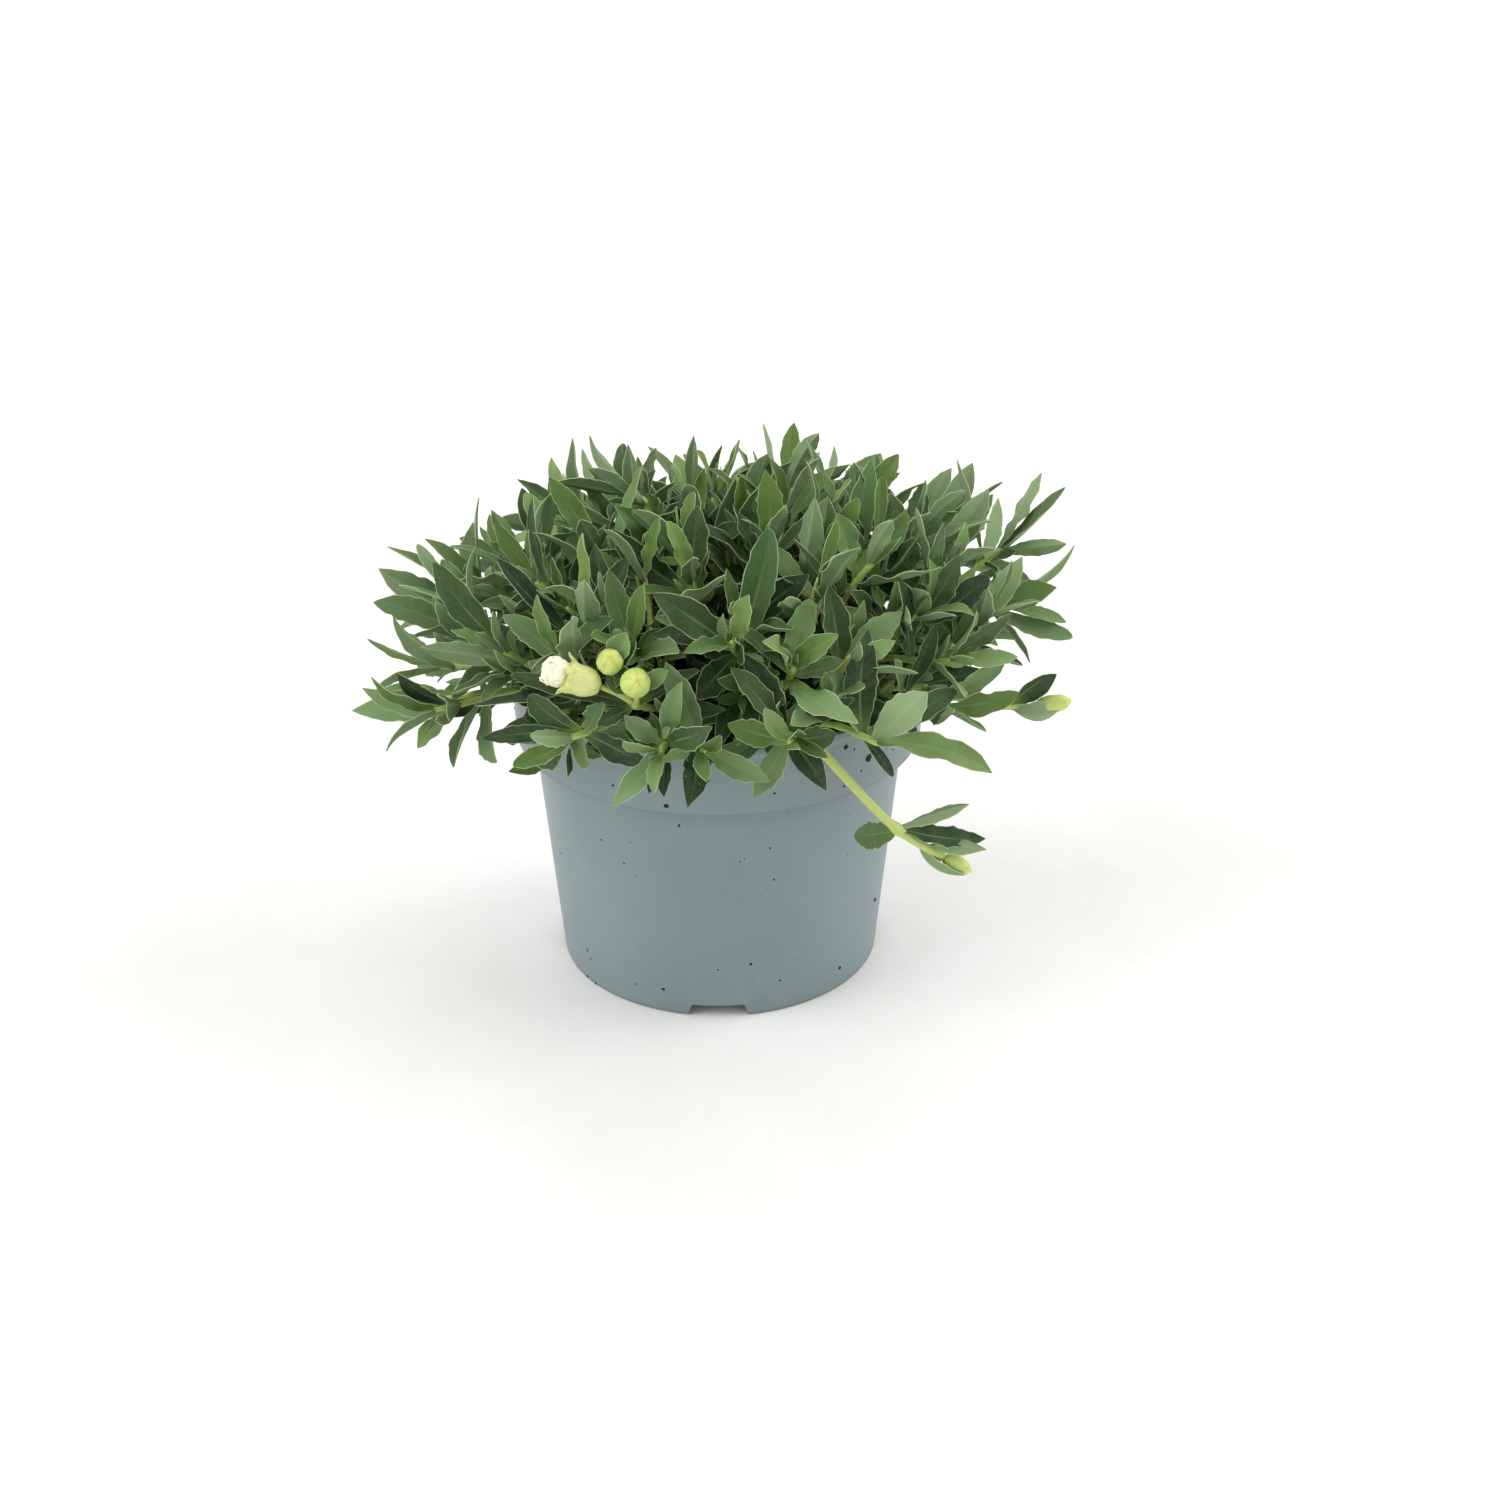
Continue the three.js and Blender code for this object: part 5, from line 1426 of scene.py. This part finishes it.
def leaf_material():
    """Glaucous leaf: dark above, paler below, with a pale midrib, faint side veins and a pale thin edge;
    painted shade darkens the old leaves inside the dome, and painted light lightens leaves towards the
    outside of the plant.
    """
    leaf = Shader("leaf", {"Roughness": 0.46, "Specular IOR Level": 0.12})
    across, along, chance, side = leaf.marks()
    age = leaf.age()
    from_middle = leaf.times(leaf.off(across, 0.5), 2.0)
    mottle = leaf.span(leaf.noise(420, 4, 0.65), 0.35, 0.7)
    young = leaf.mix(chance, (0.090, 0.170, 0.036), (0.200, 0.320, 0.070))
    lower = leaf.mix(chance, (0.130, 0.210, 0.090), (0.270, 0.370, 0.200))
    lower = leaf.mix(leaf.span(from_middle, 0.2, 0.05, 0.0, 0.5), lower, (0.380, 0.500, 0.240))
    leaf.colour = leaf.mix(leaf.span(chance, 0.0, 0.45), (0.022, 0.040, 0.024), (0.017, 0.039, 0.014))
    leaf.coat(leaf.span(chance, 0.45, 0.85), (0.078, 0.156, 0.044))
    leaf.coat(leaf.span(chance, 0.8, 1.0), (0.165, 0.275, 0.105))
    leaf.coat(leaf.span(age, 0.1, 0.75, 1.0, 0.0), young)
    # Painted shade: the oldest leaves, low inside the dome, darkened almost to black for the deep shade
    # between the stems.
    leaf.coat(leaf.span(age, 0.85, 1.0), (0.014, 0.026, 0.010))
    # Pale leaf bases, weaker on older leaves: partly the leaves' own colour, partly painted shade that keeps
    # the inside of the dome dark.
    base = leaf.times(leaf.span(along, 0.0, 0.36, 1.0, 0.0), leaf.span(age, 0.3, 0.9, 0.85, 0.45))
    leaf.coat(base, (0.250, 0.370, 0.080))
    leaf.coat(leaf.times(mottle, 0.28), (0.086, 0.140, 0.066))
    leaf.colour = leaf.mix(side, lower, leaf.colour)
    # Painted light: leaves lighter towards the outside of the plant, for the light that reaches its flanks
    # from the sides.
    leaf.coat(leaf.times(leaf.outer(), leaf.span(chance, 0.2, 1.0, 0.05, 0.6)), (0.240, 0.350, 0.170))
    slanted = leaf.math("SUBTRACT", leaf.times(along, 9.0), leaf.times(from_middle, 1.7))
    veins = leaf.span(leaf.math("PINGPONG", slanted, 0.5), 0.43, 0.5)
    veins = leaf.times(veins, leaf.span(from_middle, 0.9, 0.2, 0.0, 0.22))
    leaf.coat(veins, (0.200, 0.290, 0.150))
    midrib = leaf.times(leaf.span(from_middle, 0.13, 0.02, 0.0, 0.55), leaf.span(along, 0.9, 0.2, 0.12, 1.0))
    leaf.coat(midrib, (0.230, 0.330, 0.140))
    leaf.coat(leaf.span(from_middle, 0.92, 0.99, 0.0, 0.8), (0.500, 0.600, 0.330))
    return leaf.finish(leaf.math("ADD", mottle, veins), 0.00012, 0.5)


def stem_material():
    stem = Shader("stem", {"Roughness": 0.45})
    _, along, chance, _ = stem.marks()
    streaks = stem.span(stem.noise(420), 0.35, 0.7)
    stem.colour = stem.mix(stem.span(along, 0.3, 1.0), (0.470, 0.560, 0.150), (0.360, 0.520, 0.110))
    stem.coat(stem.times(chance, 0.5), (0.560, 0.640, 0.200))
    stem.coat(stem.times(streaks, 0.3), (0.580, 0.640, 0.270))
    return stem.finish(streaks, 0.0001, 0.4)


def calyx_material():
    calyx = Shader("calyx", {"Roughness": 0.45})
    vein, height, pale, seam = calyx.marks()
    net = calyx.span(calyx.noise(700, 2), 0.52, 0.62)
    blotch = calyx.span(calyx.noise(150), 0.35, 0.65)
    calyx.colour = calyx.mix(blotch, (0.400, 0.560, 0.110), (0.530, 0.640, 0.170))
    calyx.coat(pale, (0.680, 0.720, 0.290))
    calyx.coat(calyx.times(vein, calyx.span(pale, 0.2, 1.0, 0.3, 0.12)), (0.330, 0.470, 0.090))
    calyx.coat(calyx.times(net, 0.14), (0.360, 0.490, 0.110))
    tip = calyx.times(calyx.span(height, 0.55, 0.95), calyx.span(seam, 0.1, 0.9, 0.0, 0.4))
    calyx.coat(tip, (0.260, 0.420, 0.070))
    calyx.coat(calyx.span(height, 0.82, 0.99, 0.0, 0.7), (0.680, 0.700, 0.170))
    return calyx.finish(net, 0.0001, 0.4)


def petal_material():
    petal = Shader("petal", {"Roughness": 0.6, "Sheen Weight": 0.15})
    height = petal.marks()[1]
    crease = petal.span(petal.noise(900), 0.4, 0.7)
    petal.colour = petal.mix(petal.span(height, 0.05, 0.45), (0.800, 0.800, 0.330), (0.940, 0.910, 0.700))
    petal.coat(petal.times(crease, 0.3), (0.880, 0.830, 0.500))
    return petal.finish(crease, 0.0002, 0.5)


def soil_material():
    soil = Shader("soil", {"Roughness": 0.95})
    crumbs = soil.noise(900, 5, 0.7)
    soil.colour = soil.mix(soil.span(crumbs, 0.35, 0.7), (0.009, 0.006, 0.005), (0.045, 0.028, 0.018))
    soil.coat(soil.times(soil.span(soil.marks()[2], 0.55, 1.0), soil.age()), (0.110, 0.070, 0.042))
    return soil.finish(crumbs, 0.0006, 0.9)


def pot_material():
    """Matt grey-blue plastic with fine grain, a few specks of soil and faint smears; painted shade along and
    under the collar's lower edge, a darker band at the foot and a painted highlight round the lip.
    """
    pot = Shader("pot_plastic", {"Roughness": 0.46})
    pot.colour = pot.mix(pot.span(pot.noise(22), 0.3, 0.7), (0.180, 0.236, 0.248), (0.197, 0.255, 0.266))
    pot.coat(pot.times(pot.specks(120, 0.9, 0.11), 0.85), (0.035, 0.028, 0.022))
    pot.coat(pot.times(pot.specks(330, 0.93, 0.13), 0.7), (0.080, 0.075, 0.065))
    pot.coat(pot.times(pot.span(pot.noise(55, 5, 0.7), 0.6, 0.75), 0.14), (0.330, 0.385, 0.385))
    height = pot.apart("XYZ", pot.place)["Z"]
    # Painted shade: a dark line along the collar's lower edge, where shade falls under the step.
    crease = pot.off(height, (COLLAR_LOW + 0.1) * MM)
    pot.coat(pot.span(crease, 0.0017, 0.0002, 0.0, 0.6), (0.110, 0.150, 0.160))
    # Painted shade: the body darkened softly just under the collar.
    under = pot.times(pot.span(height, 0.066, 0.0755, 0.0, 0.22), pot.math("LESS_THAN", height, 0.0756))
    pot.coat(under, (0.120, 0.160, 0.172))
    pot.coat(pot.span(height, 0.0022, 0.0002, 0.0, 0.5), (0.130, 0.160, 0.160))
    # Painted highlight: a lighter ring just under the top of the lip.
    lip = pot.off(height, (POT_HEIGHT - 0.4) * MM)
    pot.coat(pot.span(lip, 0.0006, 0.0002, 0.0, 0.35), (0.420, 0.480, 0.490))
    return pot.finish(pot.noise(1600), 0.00005, 0.35)


def floor_material():
    floor = Shader("floor", {"Roughness": 0.8})
    cloud = floor.span(floor.noise(9, 6, 0.7), 0.3, 0.7)
    floor.colour = floor.mix(cloud, (0.850, 0.835, 0.810), (0.900, 0.890, 0.875))
    return floor.finish(floor.noise(180, 5, 0.7), 0.0004, 0.35)


# Camera, light and floor
CAMERA_TARGET = Vector((0.0098, 0, 0.0668))
CAMERA_DISTANCE = 0.660
CAMERA_RISE = math.radians(26)
SKY = 0.72
SOFT_LIGHTS = [((-1.0, -0.3, 0.65), 1.6), ((1.0, 0.1, 0.6), 1.5), ((0.0, 0.9, 1.1), 0.7)]
LIGHT_SPREAD = 45
FLOOR_HALF = 3000
# From the plant to the camera
VIEW_WAY = [38, -517, 226]
KEPT_FREE = 28


def add_camera():
    camera = new_object("camera", bpy.data.cameras.new("camera"))
    camera.data.lens = 50
    camera.data.sensor_width = 36
    towards = Vector((0, math.cos(CAMERA_RISE), -math.sin(CAMERA_RISE)))
    camera.location = CAMERA_TARGET - towards * CAMERA_DISTANCE
    camera.rotation_euler = towards.to_track_quat("-Z", "Y").to_euler()
    bpy.context.scene.camera = camera


def add_lights():
    """White surroundings and three very wide, soft lights from far away."""
    world = bpy.data.worlds.new("studio")
    world.use_nodes = True
    background = world.node_tree.nodes["Background"].inputs
    background["Color"].default_value = (1, 1, 1, 1)
    background["Strength"].default_value = SKY
    bpy.context.scene.world = world
    bpy.context.scene.view_settings.view_transform = "Standard"
    for order, (place, power) in enumerate(SOFT_LIGHTS):
        light = bpy.data.lights.new(f"soft_light_{order}", "SUN")
        light.angle = math.radians(LIGHT_SPREAD)
        light.energy = power
        lamp = new_object(light.name, light)
        lamp.location = place
        lamp.rotation_euler = (-lamp.location).to_track_quat("-Z", "Y").to_euler()


def add_floor():
    corners = [(x * FLOOR_HALF, y * FLOOR_HALF, 0) for x, y in ((-1, -1), (1, -1), (1, 1), (-1, 1))]
    floor = mesh_object("floor", corners, [(0, 1, 2, 3)])
    floor.data.materials.append(floor_material())


def add_plant():
    leafy = [leaf_material(), stem_material()]
    calyx = [calyx_material(), leafy[0]]
    path_stems, runs = grow_path_stems()
    stems, left_out = grow_stems(path_stems, runs)
    room = Room()
    for bud in (PETALS, *BUDS.values()):
        room.fill_way(bud.centre, VIEW_WAY, KEPT_FREE, bud.radius)
    for stem in stems:
        keep_leaves(stem, room)
    for stem in path_stems:
        path_piece(stem, room, leafy)
    for stem in stems:
        leafy_piece(stem, room, leafy)
    inner_shoots(left_out, room, leafy)
    for order, (name, bud) in enumerate(BUDS.items()):
        bud_piece(name, bud, 600 + order, calyx)
    petal_piece(petal_material())


add_camera()
add_lights()
add_floor()
pot_piece(pot_material())
earth = soil_material()
soil_piece(earth)
speck_piece(earth)
add_plant()
